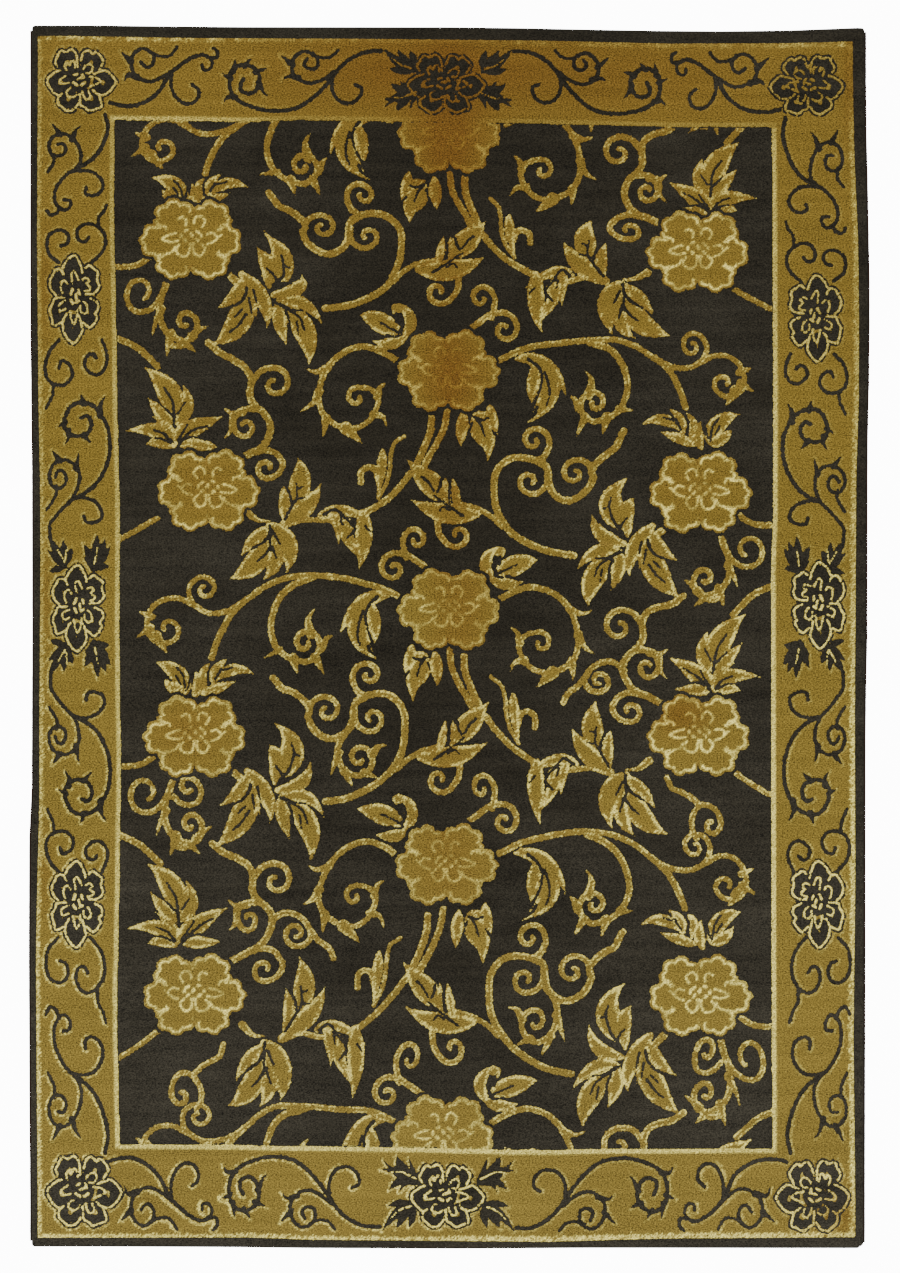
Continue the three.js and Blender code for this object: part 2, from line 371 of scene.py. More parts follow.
SIDE_BORDER_LINES = (
    vine(4, (20, 574), (20, 558), (26, 548), (34, 538), (43, 529)),
    vine(4, (43, 529), (54, 528), (66, 532), (73, 541), (72, 550), (64, 554), (57, 553),
          (55, 546)),
    vine(4, (42, 530), (47, 519), (48, 506), (43, 496), (33, 491), (22, 496), (18, 508),
          (22, 518), (30, 519), (35, 512), (32, 503), (27, 503), (24, 509)),
    vine(3.6, (25, 517), (26, 525), (22, 533), (18, 539)),
    thorn(6, (29, 492), (21, 481)),
    thorn(6, (45, 500), (48, 483)),
    vine(4.5, (44, 529), (56, 523), (67, 513), (75, 498), (79, 481), (78, 461), (72, 446),
          (64, 436), (52, 431), (41, 435), (35, 446), (34, 456), (39, 464), (49, 466),
          (58, 462), (61, 453), (57, 445), (51, 447)),
    thorn(6, (38, 460), (38, 468), (34, 475)),
    thorn(5, (35, 452), (27, 457)),
    thorn(6, (53, 465), (61, 474)),
    thorn(6, (53, 433), (50, 422)),
    thorn(7, (70, 445), (70, 434), (75, 425)),
    vine(4, (28, 374), (19, 384), (15, 396), (17, 408), (25, 414), (35, 414), (42, 406),
          (40, 396), (32, 392), (29, 398)),
    vine(3.6, (23, 413), (22, 424), (16, 437)),
    vine(4, (71, 374), (76, 386), (76, 396), (70, 404), (62, 404), (55, 397), (56, 389),
          (62, 386), (66, 390)),
    vine(4, (27, 308), (18, 298), (15, 284), (17, 271), (24, 264), (32, 264), (37, 272),
          (35, 282), (29, 285)),
    vine(4, (59, 309), (68, 298), (73, 286), (73, 271), (67, 259), (58, 253), (50, 256),
          (45, 266), (47, 277), (53, 279), (57, 273)),
    vine(3.6, (67, 258), (67, 244), (72, 234), (75, 223)),
    vine(4.5, (74, 93), (77, 111), (73, 131), (66, 148), (56, 161), (45, 169)),
    vine(4, (46, 168), (37, 176), (29, 188), (24, 201), (23, 216), (27, 227), (34, 231),
          (39, 224), (38, 216), (32, 215)),
    vine(4, (28, 227), (25, 236), (19, 239), (15, 232)),
    vine(4, (38, 174), (49, 171), (61, 173), (69, 182), (72, 194), (68, 205), (60, 209),
          (54, 205), (55, 197)),
    vine(4, (44, 170), (50, 158), (49, 141), (42, 126), (31, 119), (21, 125), (18, 138),
          (22, 149), (30, 150), (35, 143), (33, 134), (27, 134)),
    vine(3.6, (23, 148), (23, 160), (17, 173)),
    thorn(6, (29, 120), (21, 105)),
    thorn(6, (41, 127), (45, 114), (50, 108)),
    blade(9, (35, 601), (29, 594), (16, 584)),
    blade(9, (34, 598), (26, 584), (17, 570)),
    blade(9, (34, 598), (33, 586), (33, 574)),
    blade(8, (35, 599), (39, 588), (42, 582)),
    blade(7, (33, 601), (25, 604), (18, 606)),
    gap(2, (34, 596), (27, 584)),
    gap(2, (35, 594), (36, 582)),
    blade(8, (63, 604), (73, 598), (79, 602)),
    blade(10, (64, 602), (73, 590), (80, 580)),
    blade(9, (63, 601), (66, 582), (67, 567)),
    blade(9, (62, 602), (60, 588), (53, 578)),
    blade(8, (62, 602), (73, 582), (75, 573)),
    gap(2, (64, 598), (67, 582)),
    thorn(5, (63, 604), (53, 591)),
)
"""The same along the long side."""


@dataclass(frozen=True)
class Course:
    """An edge's place or a tone's strength, which changes evenly between a few places.

    Args:
        at: The places, in squares from the rug's middle.
        reads: What it is at each.
    """

    at: tuple[float, ...]
    reads: tuple[float, ...]

    def along(self, place: np.ndarray) -> np.ndarray:
        """Returns what it is at places along the way."""
        return np.interp(place, self.at, self.reads)


@dataclass(frozen=True)
class Margins:
    """The four edges of a frame."""

    left: Course
    right: Course
    bottom: Course
    top: Course

    def distance(self, x: np.ndarray, y: np.ndarray) -> np.ndarray:
        """Returns how far places lie outside the frame, negative inside it."""
        aside = np.maximum(self.left.along(y) - x, x - self.right.along(y))
        return np.maximum(aside, self.past_end(x, y))

    def past_end(self, x: np.ndarray, y: np.ndarray) -> np.ndarray:
        """Returns how far places lie past the frame's two ends, negative between them."""
        return np.maximum(self.bottom.along(x) - y, y - self.top.along(x))


FRAME = Margins(
    left=Course((-563, -323, -243, -165, -80, 77, 157, 237, 397, 557),
                (-410.7, -412.5, -411.1, -409, -409, -408, -408.4, -410, -411.4, -410.6)),
    right=Course((-563, -403, -243, -83, 157, 237, 317, 397, 477, 557),
                 (406.8, 405, 406.9, 406.4, 407.8, 410.3, 410.5, 409.7, 406.1, 404.4)),
    bottom=Course((-378, -198, -138, 101, 161, 221, 401),
                  (-601.2, -601, -603.2, -605.3, -603.5, -602, -600.8)),
    top=Course((-378, -258, -78, 101, 161, 221, 341, 401),
               (600.5, 598.4, 597.6, 595.8, 594.3, 592.8, 593.3, 595)),
)
"""The outer edges of the golden border, picked from measurements of the photo."""

FIELD = Margins(
    left=Course((-510, -413, -353, -293, -173, -113, 6, 126, 246, 306, 426, 486),
                (-328.5, -330.6, -331.1, -329.6, -327.8, -327.4, -329.2, -328.4, -331.4,
                 -331.9, -334.5, -334)),
    right=Course((-500, -113, 66, 126, 246, 486), (323.6, 322.6, 322.3, 324.6, 324.8, 323.4)),
    bottom=Course((-330, -250, -150, -50, 60, 100, 160, 300),
                  (-507.6, -508, -509.6, -510.8, -513.3, -513.5, -512.4, -511.8)),
    top=Course((-338, -200, -150, -90, 50, 120, 230, 300),
               (516.5, 514.4, 516.4, 515.5, 513.5, 511.8, 509.4, 509.5)),
)
"""The edges of the charcoal field, picked from measurements of the photo."""


@dataclass(frozen=True)
class Petal:
    """An oval petal with a scalloped edge, placed from its flower's middle."""

    x: float
    y: float
    half_width: float
    half_height: float


FIELD_PETALS = (
    Petal(-15, 19, 22, 20.5),
    Petal(21, 19, 20.5, 19),
    Petal(-31, -3, 20.5, 19),
    Petal(31.5, -3, 20.5, 19),
    Petal(-16, -24, 19.5, 18),
    Petal(19, -24, 20.5, 18),
)
FIELD_HEART = Petal(0, 0, 24, 22)

FIELD_FLOWER_VEINS = (
    vine(1.9, (-12, 19), (-8, 21), (-4, 18), (-4, 13)),
    vine(1.9, (4, 15), (5, 20), (9, 22), (13, 20), (15, 16), (12, 11)),
    vine(1.9, (-14, 5), (-21, 3), (-28, -1), (-20, -4), (-12, -3)),
    vine(1.9, (17, 4), (23, 5), (27, 0), (23, -4), (17, -6)),
    vine(1.7, (27, 0), (31, 3)),
    vine(1.9, (-11, -7), (-14, -12), (-11, -17), (-4, -18), (-1, -14), (0, -8)),
    vine(1.9, (3, -8), (4, -15), (9, -18), (13, -15), (15, -10), (11, -6)),
    vine(2.4, (-5, 7), (-3, 8)),
    vine(2.4, (-9, 3), (-9, 1)),
    vine(3.0, (-5, -2), (-4, -3)),
    vine(3.0, (1, 4), (2, 2)),
    vine(2.4, (6, 7), (9, 5)),
    vine(2.4, (11, 3), (11, 1)),
    vine(2.4, (6, -1), (8, -3)),
    vine(2.2, (0, -6), (4, -6)),
    vine(1.8, (-15, -9), (-18, -14), (-24, -16)),
)

BORDER_PETALS = (
    Petal(-3, 26, 11, 15),
    Petal(-3, -27, 11, 14),
    Petal(13, 17, 11.5, 14.5),
    Petal(13, -12, 11.5, 14.5),
    Petal(-16, 16, 9.5, 13.5),
    Petal(-16, -12, 9.5, 14),
    Petal(0, 2, 13, 13),
)

BORDER_FLOWER_OUTLINES = (
    vine(2.5, (-13, 30), (-10, 36), (-4, 42), (0, 42), (3, 38), (6, 31), (7, 26)),
    vine(2.5, (10, 30), (14, 33), (18, 30), (23, 26), (22, 19), (24, 12), (19, 6), (10, 5)),
    vine(2.5, (15, 1), (22, -3), (23, -9), (20, -14), (22, -18), (15, -27), (8, -22)),
    vine(2.5, (-9, -14), (-12, -19), (-13, -27), (-10, -35), (-4, -42), (-1, -42), (4, -36),
         (7, -30), (6, -24), (4, -15)),
    vine(2.5, (-12, 2), (-21, 1), (-23, -4), (-26, -10), (-24, -19), (-22, -25), (-14, -22)),
    vine(2.5, (-20, 4), (-25, 10), (-26, 18), (-23, 24), (-20, 29), (-15, 29), (-12, 24)),
)

BORDER_FLOWER_VEINS = (
    vine(2.0, (-3, 15), (-4, 25), (-1, 27), (3, 19)),
    vine(2.0, (7, 19), (11, 21), (14, 18), (11, 15), (15, 12), (14, 9), (9, 8)),
    vine(2.0, (-13, 6), (-15, 12), (-13, 18), (-10, 18), (-8, 15)),
    vine(2.0, (-10, -1), (-14, -3), (-17, -6), (-15, -11), (-10, -9)),
    vine(2.0, (5, -6), (5, -11), (9, -14), (12, -11), (11, -5), (8, -2)),
    vine(2.0, (-6, -11), (-4, -19), (-2, -24), (1, -19), (2, -10)),
    vine(3.0, (-3, 10), (-5, 5)),
    vine(2.6, (3, 9), (4, 5)),
    vine(2.6, (0, 5), (1, 0)),
    vine(3.0, (-5, 0), (-3, -4)),
    vine(2.6, (4, -1), (1, -3)),
)


def smooth_step(low: float, high: float, value: np.ndarray) -> np.ndarray:
    """Returns 0 below low, 1 above high, and a smooth rise between the two."""
    share = np.clip((value - low) / (high - low), 0.0, 1.0)
    return share * share * (3.0 - 2.0 * share)


def spline(points: Iterable[Point], step: float = 2.0) -> np.ndarray:
    """Follows a smooth curve through points.

    Args:
        points: The points, in squares.
        step: About how far apart the curve's own points lie.

    Returns:
        The curve's points, one row each.
    """
    through = np.array(list(points), float)
    if len(through) < 3:
        count = max(2, int(np.linalg.norm(through[-1] - through[0]) / step) + 1)
        share = np.linspace(0.0, 1.0, count)[:, None]
        return through[0] * (1 - share) + through[-1] * share
    ends = np.vstack([2 * through[0] - through[1], through, 2 * through[-1] - through[-2]])
    pieces = []
    for before, start, end, after in zip(ends, ends[1:], ends[2:], ends[3:]):
        count = max(2, int(np.linalg.norm(end - start) / step) + 1)
        t = np.linspace(0.0, 1.0, count, endpoint=False)[:, None]
        pieces.append(
            0.5 * (2 * start + (end - before) * t
                   + (2 * before - 5 * start + 4 * end - after) * t ** 2
                   + (3 * start - before - 3 * end + after) * t ** 3)
        )
    pieces.append(through[-1:])
    return np.vstack(pieces)


def spiral(start: np.ndarray, curl: Curl) -> np.ndarray:
    """Works out a vine's spiral.

    Args:
        start: Where the vine reaches it.
        curl: The spiral.

    Returns:
        Its points, from there to its inner end.
    """
    away = start - (curl.x, curl.y)
    radius = float(np.hypot(*away))
    angle = math.atan2(away[1], away[0])
    count = max(8, int(abs(curl.turn) / 14))
    share = np.linspace(0.0, 1.0, count + 1)[1:]
    radii = radius + (curl.end_radius - radius) * share ** 0.8
    angles = angle + math.radians(curl.turn) * share
    return np.column_stack([curl.x + radii * np.cos(angles), curl.y + radii * np.sin(angles)])


def path_of(line: DrawnLine) -> tuple[np.ndarray, np.ndarray]:
    """Works out a drawn line's path.

    Args:
        line: The line.

    Returns:
        Its points in squares, and half its width at each.
    """
    if line.kind is Line.BLADE:
        root, bend, tip = (np.array(p, float) for p in line.points)
        share = np.linspace(0.0, 1.0, 13)
        t = share[:, None]
        path = root * (1 - t) ** 2 + 2 * bend * t * (1 - t) + tip * t ** 2
        swell = np.sin(np.pi * np.clip(0.1 + 0.9 * share, 0, 1) ** 0.85)
        return path, line.width / 2 * np.clip(swell, 0.06, 1.0)
    path = spline(line.points)
    if line.curl is not None:
        path = np.vstack([path, spiral(path[-1], line.curl)])
    share = np.linspace(0.0, 1.0, len(path))
    if line.kind is Line.THORN:
        half = line.width / 2 * (1.0 - share) ** 0.8 + 0.35
    elif line.kind is Line.GAP:
        half = line.width / 2 * (1.0 - 0.35 * share)
    elif line.curl is not None:
        half = line.width / 2 * (1.0 - 0.22 * share)
    else:
        half = np.full(len(path), line.width / 2)
    return path, half


FAR_OFF = 9.0
"""The distance that a place with nothing drawn near it is given, in squares."""

STROKE_SURROUND = 3.5
"""How far round a stroke its distance is worked out."""


class Cloth:
    """A grid of places over the rug, on which lines are drawn as distances from their edges.

    Args:
        half_width: Half the drawn width, in squares.
        half_height: Half the drawn height.
        pitch: Distance between two places.
    """

    def __init__(self, half_width: float, half_height: float, pitch: float) -> None:
        """Lays out the places."""
        self.pitch = pitch
        self.xs = np.arange(-half_width, half_width + pitch, pitch)
        self.ys = np.arange(-half_height, half_height + pitch, pitch)
        self.x, self.y = np.meshgrid(self.xs, self.ys)

    def blank(self) -> np.ndarray:
        """Returns a layer with nothing drawn on it."""
        return np.full(self.x.shape, FAR_OFF)

    def window(self, low: np.ndarray, high: np.ndarray) -> Optional[tuple[slice, slice]]:
        """Finds the part of the grid between two corners.

        Args:
            low: The lower left corner.
            high: The upper right corner.

        Returns:
            Its rows and columns, or None where the corners miss the grid.
        """
        left, right = np.searchsorted(self.xs, (low[0], high[0]))
        bottom, top = np.searchsorted(self.ys, (low[1], high[1]))
        if left >= right or bottom >= top:
            return None
        return slice(bottom, top), slice(left, right)

    def stroke(self, layer: np.ndarray, path: np.ndarray, half: np.ndarray) -> None:
        """Draws one path on a layer.

        Args:
            layer: The layer, changed in place.
            path: The path's points.
            half: Half the width at each point.
        """
        for start, end, r0, r1 in zip(path, path[1:], half, half[1:]):
            reach = max(r0, r1) + STROKE_SURROUND
            view = self.window(np.minimum(start, end) - reach, np.maximum(start, end) + reach)
            if view is None:
                continue
            along = end - start
            length2 = float(along @ along) or 1e-9
            dx = self.x[view] - start[0]
            dy = self.y[view] - start[1]
            t = np.clip((dx * along[0] + dy * along[1]) / length2, 0.0, 1.0)
            distance = np.hypot(dx - t * along[0], dy - t * along[1]) - (r0 + (r1 - r0) * t)
            np.minimum(layer[view], distance, out=layer[view])


@dataclass
class Layers:
    """The chart's drawn layers, each a distance from the edge of what it holds."""

    gold: np.ndarray
    leaf: np.ndarray
    flower: np.ndarray
    dark: np.ndarray
    pale: np.ndarray

    @classmethod
    def on(cls, cloth: Cloth) -> "Layers":
        """Returns empty layers for a cloth."""
        return cls(*(cloth.blank() for _ in range(5)))


FIELD_FLOWER_REACH = (62.0, 52.0)
"""Half the width and height of the place that a field flower may take."""

BORDER_FLOWER_SIZE = (26.5, 43.5)
"""Half the width and height that the border's flower is drawn with, standing upright."""


@dataclass
class FlowerChart:
    """How a many-petalled flower is drawn, in the field and in the border."""

    scallops: float = 3.4
    scallop_depth: float = 0.115
    line_inset: float = 4.0
    line_width: float = 2.7
    seam_inset: float = 3.0
    line_reach: float = 0.25

    def petal_edge(self, cloth: Cloth, view: tuple[slice, slice], middle: np.ndarray,
                   petal: Petal, flip: float) -> np.ndarray:
        """Works out how far places lie from one petal's scalloped edge.

        Args:
            cloth: The grid.
            view: The part of it that counts.
            middle: The flower's middle.
            petal: The petal.
            flip: -1 where the motif is a mirror image, else 1.

        Returns:
            The distances over that part, negative inside the petal.
        """
        dx = (cloth.x[view] - middle[0]) * flip - petal.x
        dy = cloth.y[view] - middle[1] - petal.y
        reach = np.hypot(dx / petal.half_width, dy / petal.half_height)
        angle = np.arctan2(dy / petal.half_height, dx / petal.half_width)
        swell = np.abs(np.sin(self.scallops * angle + petal.x * 0.7))
        edge = 1.0 - self.scallop_depth + self.scallop_depth * 1.5 * swell
        return (reach - edge) * min(petal.half_width, petal.half_height)

    def draw_field_flower(self, cloth: Cloth, layers: Layers, middle: np.ndarray,
                          flip: float) -> None:
        """Draws one golden flower of the field.

        Args:
            cloth: The grid.
            layers: Where it is drawn.
            middle: The flower's middle.
            flip: -1 where the motif is a mirror image, else 1.
        """
        reach = np.array(FIELD_FLOWER_REACH)
        view = cloth.window(middle - reach, middle + reach)
        if view is None:
            return
        edges = [self.petal_edge(cloth, view, middle, p, flip) for p in FIELD_PETALS]
        heart = self.petal_edge(cloth, view, middle, FIELD_HEART, flip)
        body = np.minimum(np.min(edges, axis=0), heart)
        np.minimum(layers.flower[view], body, out=layers.flower[view])
        for index, petal in enumerate(FIELD_PETALS):
            others = np.min([e for i, e in enumerate(edges) if i != index], axis=0)
            own = np.maximum(edges[index], 0.5 * (edges[index] - others) - self.seam_inset)
            ring = np.abs(own + self.line_inset) - self.line_width / 2
            dx = (cloth.x[view] - middle[0]) * flip - petal.x
            dy = cloth.y[view] - middle[1] - petal.y
            outward = (dx * petal.x + dy * petal.y) / (
                np.hypot(dx, dy) * math.hypot(petal.x, petal.y) + 1e-6)
            ring = np.maximum(ring, -8.0 * (outward + self.line_reach))
            np.minimum(layers.pale[view], ring, out=layers.pale[view])
        for line in FIELD_FLOWER_VEINS:
            path, half = path_of(line)
            cloth.stroke(layers.pale, path * (flip, 1.0) + middle, half + 0.3)

    def draw_border_flower(self, cloth: Cloth, layers: Layers, middle: Point, size: Point,
                           lying: bool, flip: float) -> None:
        """Draws one dark flower of the border, outlined in pale pile.

        Args:
            cloth: The grid.
            layers: Where it is drawn.
            middle: The flower's middle.
            size: Its half width and half height.
            lying: Whether the flower's long way lies across.
            flip: -1 where it is a mirror image, else 1.
        """
        grow = np.array(size, float) / (BORDER_FLOWER_SIZE[::-1] if lying else BORDER_FLOWER_SIZE)

        def place(path: np.ndarray) -> np.ndarray:
            """Returns a drawn path where this flower has it."""
            turned = path[:, ::-1] * (-1.0, 1.0) if lying else path
            return turned * (flip, 1.0) * grow + middle

        for petal in BORDER_PETALS:
            oval = np.array([[petal.x + petal.half_width * 0.55 * math.cos(a),
                              petal.y + petal.half_height * 0.55 * math.sin(a)]
                             for a in np.linspace(0, 2 * math.pi, 13)])
            thick = min(petal.half_width, petal.half_height) * 0.48 * min(grow)
            cloth.stroke(layers.dark, place(oval), np.full(13, thick))
        for line in BORDER_FLOWER_OUTLINES:
            path, half = path_of(line)
            cloth.stroke(layers.dark, place(path), half + 1.7)
            cloth.stroke(layers.pale, place(path), half - 0.1)
        for line in BORDER_FLOWER_VEINS:
            path, half = path_of(line)
            cloth.stroke(layers.pale, place(path), half)


@dataclass(frozen=True)
class Stray:
    """How far one motif lies from where the drawn repeat has it, band by band.

    Args:
        x: The motif's middle in the repeat.
        y: The same, upwards.
        moves: How far each band has it to the right and upwards, from the lowest band up. It is
            None for a band without the motif.
    """

    x: float
    y: float
    moves: tuple[Optional[Point], ...]


STRAYS = (
    Stray(0, -1, ((-6, -8), (-1, -1), (0, 0), (1, -1), (1, 3))),
    Stray(-252, -130, (None, (1, 5), (-2, 2), (1, 2), (-6, 11))),
    Stray(250, -128, (None, (-3, 4), (0, 1), (11, 2), (-1, -3))),
    Stray(-190, 58, ((-6, -7), (0, -4), (0, -1), (-2, -3), None)),
    Stray(-148, 122, ((6, 8), (-5, 6), (0, 6), (-14, 7), None)),
    Stray(-98, 80, ((-7, -6), (3, -3), (1, 1), (3, -5), None)),
    Stray(-84, -14, (None, (15, -9), (-3, -4), (15, -5), (-16, 1))),
    Stray(-142, -36, (None, (1, -5), (2, 2), (2, 0), (0, 2))),
    Stray(-175, 0, ((-5, -6), (3, -6), (3, 2), (-2, 2), (-2, 4))),
    Stray(-288, -15, (None, (-3, -5), (0, -2), (-5, 2), (-5, 3))),
    Stray(-247, 18, ((-5, -10), (2, -7), (2, -1), (-2, 2), None)),
    Stray(-235, -35, (None, (-1, 0), (2, -1), (0, 8), (-6, 4))),
    Stray(-120, -104, (None, (3, -1), (0, -1), (5, -7), (-4, -1))),
    Stray(-82, -70, (None, (-1, -7), (3, 0), (3, -9), (-3, 2))),
    Stray(-78, -112, (None, (-1, 1), (3, 1), (4, -6), (-2, -3))),
    Stray(-92, -152, (None, (-3, 2), (1, 1), (3, -8), (-3, -9))),
    Stray(-46, -130, (None, (-2, -1), (-1, -1), (3, -2), (-4, 1))),
    Stray(-36, -66, (None, (0, -7), (0, -3), (6, -5), (-3, -9))),
    Stray(60, -110, (None, (-4, 0), (0, -1), (0, 0), (-5, -3))),
    Stray(-50, 46, ((-4, -8), (-1, -3), (3, -1), (-1, -3), None)),
    Stray(5, 78, ((-4, -1), (0, 2), (1, -1), (-1, -1), None)),
    Stray(56, 36, ((-5, -2), None, (1, 1), (-1, 1), None)),
    Stray(118, 0, (None, (1, -2), (2, 1), (-1, 2), (5, 1))),
    Stray(92, -40, (None, (-3, -1), (1, -3), (0, 2), (3, -6))),
    Stray(110, -62, (None, (1, 1), (1, -1), (4, -1), (1, -9))),
    Stray(236, -68, (None, (1, 6), (-1, 0), None, (-1, -3))),
    Stray(290, -72, (None, (-9, 6), (1, 1), (-11, 4), (-2, 0))),
    Stray(272, -30, (None, (-2, 7), (0, 1), (-5, 6), (-6, -2))),
    Stray(258, 20, ((1, 0), (-1, 4), (0, -2), (-6, 15), None)),
    Stray(303, 56, ((-4, 14), (0, 9), (-4, 3), (-3, 18), None)),
    Stray(284, 50, ((-1, 12), (0, 7), (-1, 2), (-6, 18), None)),
    Stray(158, 100, ((-3, 0), (7, -1), (0, 1), None, None)),
    Stray(150, 30, ((-5, -2), (7, 3), (-1, -2), (4, 4), None)),
    Stray(188, 50, ((-2, 2), None, None, None, None)),
    Stray(214, 40, ((0, 1), (1, 2), (1, -2), (-2, 7), None)),
    Stray(176, -16, (None, (2, -2), (-3, -2), (1, 0), (-4, -3))),
    Stray(205, -56, (None, (0, 4), (0, 1), (-4, -1), (-1, -1))),
    Stray(178, -100, (None, (-7, -4), (5, -5), (-2, -5), (5, -9))),
    Stray(150, -74, (None, (-3, 4), (1, -1), (-6, -2), (7, -4))),
    Stray(14, -70, (None, (-6, -9), (1, -3), (-2, -6), (2, -4))),
    Stray(-262, -72, (None, (1, 12), (1, 3), (-1, 10), (-1, 12))),
    Stray(-216, -66, (None, (-2, 7), (1, 1), (-1, 8), (-5, 9))),
    Stray(-130, 30, ((-4, -13), (0, -5), (3, 0), (4, -6), None)),
    Stray(-90, -182, (None, (-4, -1), (3, 2), (-6, 2), (8, 6))),
    Stray(-305, 70, ((0, -4), (-4, -9), (-2, -1), (-17, -7), None)),
    Stray(315, 18, ((7, -8), (-4, 3), (2, 1), (-7, 7), None)),
    Stray(-205, 10, ((2, -9), (0, -3), (0, 0), (7, 3), None)),
    Stray(130, -100, (None, (2, 6), (-1, 2), (0, 3), (-13, 1))),
    Stray(10, -132, (None, (-6, 2), (3, 4), (0, 2), (1, 1))),
)
# Where each band has each motif. These rows weren't chosen by hand: they were found by sliding the
# chart over the photo and keeping the best match.
"""Where each band has each motif. These rows weren't chosen by hand: a scratch program slid the
chart over the photo, kept the best match and wrote them. report.md tells what they are worth."""


@dataclass
class FieldChart:
    """The field's vines, leaves and flowers: one drawn repeat, set five times.

    Every second band is the mirror image of the one below it. The bands drift downwards a little
    towards both ends, which drift gives, picked from measurements of the photo. STRAYS gives each
    motif's own place.
    """

    bands: tuple[int, ...] = (-2, -1, 0, 1, 2)
    middle: Point = (-0.5, 29.5)
    drift: Course = Course((-463, -411, -375, -345, -309, -273, -213, -163, -103, 30, 146, 236,
                            287, 337, 392, 428, 464, 521),
                           (27, 27, 20, 16, 13, 9, 8, 4, 0, 0, 2, 4, 7, 4, 4, 10, 14, 18))
    flowers: tuple[Point, ...] = ((0, -1), (-252, -130), (250, -128))
    stray_reach: float = 20.0
    flower: FlowerChart = field(default_factory=FlowerChart)

    def __post_init__(self) -> None:
        """Works out where each stray motif lies and how far it has moved."""
        known = [(self.charted(np.array([(s.x, s.y)], float), band)[0], move)
                 for s in STRAYS for band, move in zip(self.bands, s.moves) if move is not None]
        self.stray_at = np.array([place for place, _ in known])
        self.stray_by = np.array([move for _, move in known], float)

    def charted(self, path: np.ndarray, band: int) -> np.ndarray:
        """Returns a path of the repeat where one of its bands has it, but for its strays.

        Args:
            path: The path, in squares from the repeat's middle.
            band: The band, counted from the middle one.

        Returns:
            The path, in squares from the rug's middle.
        """
        flip = -1.0 if band % 2 else 1.0
        moved = path * (flip, 1.0) + self.middle + (0.0, band * REPEAT_RISE)
        moved[:, 1] -= self.drift.along(moved[:, 1])
        return moved

    def placed(self, path: np.ndarray, band: int) -> np.ndarray:
        """Returns a path of the repeat where one of its bands has it, with its strays.

        Args:
            path: The path, in squares from the repeat's middle.
            band: The band, counted from the middle one.

        Returns:
            The path, in squares from the rug's middle.
        """
        moved = self.charted(path, band)
        gap2 = ((moved[:, None, :] - self.stray_at[None, :, :]) ** 2).sum(axis=2)
        near = np.exp(-(gap2 - gap2.min(axis=1, keepdims=True)) / (2 * self.stray_reach ** 2))
        return moved + near @ self.stray_by / near.sum(axis=1, keepdims=True)

    def lines(self, band: int) -> tuple[DrawnLine, ...]:
        """Returns the drawn lines that one band has.

        Args:
            band: The band, counted from the middle one.

        Returns:
            The lines.
        """
        lines = FIELD_LINES
        if band in (-1, 0):
            lines = lines + MIDDLE_BAND_LINES
        if band in (-2, -1):
            lines = lines + LOWER_BAND_LINES
        return lines

    def draw(self, cloth: Cloth, layers: Layers) -> None:
        """Draws the whole field.

        Args:
            cloth: The grid.
            layers: Where it is drawn.
        """
        for band in self.bands:
            flip = -1.0 if band % 2 else 1.0
            for line in self.lines(band):
                path, half = path_of(line)
                path = self.placed(path, band)
                layer = layers.dark if line.kind is Line.GAP else layers.gold
                cloth.stroke(layer, path, half)
                if line.kind is Line.BLADE:
                    cloth.stroke(layers.leaf, path, half)
            for flower in self.flowers:
                middle = self.placed(np.array([flower], float), band)[0]
                self.flower.draw_field_flower(cloth, layers, middle, flip)


@dataclass(frozen=True)
class Drift:
    """How far a stretch of the border's vines lies from the drawn quarter, along its edge.

    Args:
        at: Places along the edge, in squares.
        across: How far the vines lie to the right at each.
        up: How far they lie upwards.
    """

    at: tuple[float, ...]
    across: tuple[float, ...]
    up: tuple[float, ...]

    def moved(self, x: np.ndarray, y: np.ndarray, along: np.ndarray) -> np.ndarray:
        """Returns a path's points where this stretch has them."""
        return np.column_stack([x + np.interp(along, self.at, self.across),
                                y + np.interp(along, self.at, self.up)])


TOP_LEFT_DRIFT = Drift((-330, -278, -208, -168, -128, -100, -60), (0, 0, 0.5, 1, 3, 3, 1),
                       (-1, -2.5, -4, -4.5, -5, -4.5, -3))
TOP_RIGHT_DRIFT = Drift((60, 100, 150, 200, 250, 300, 332), (-1, -6, -8, -6.5, -8.5, -11, -6),
                        (-3, -2.5, -4, -4, -3.5, -2.5, -2.5))
BOTTOM_RIGHT_DRIFT = Drift((67, 95, 120, 200, 262, 290, 310, 332), (0, -4.5, -2, 0, 0, -4, -4, 0),
                           (0, -2, -1, 0, 0, 0, -2, -1))
UPPER_LEFT_DRIFT = Drift((100, 130, 160, 210, 245, 275, 295, 375, 405, 440, 470, 520),
                         (-1, -3, 0, 0, 0, -1, 0, 0, 0, 0, -1, 0),
                         (0, -5, -2.5, -5, -6, -4.5, -1, 3, 3, -1, -3, -3))
UPPER_RIGHT_DRIFT = Drift((100, 130, 160, 210, 270, 370, 400, 430, 480, 524),
                          (0, -1, -1, -4, -5, -8, -8, -6, -4, -4),
                          (-2, -7, -8, -11, -14, -16, -17, -17.5, -19, -6))


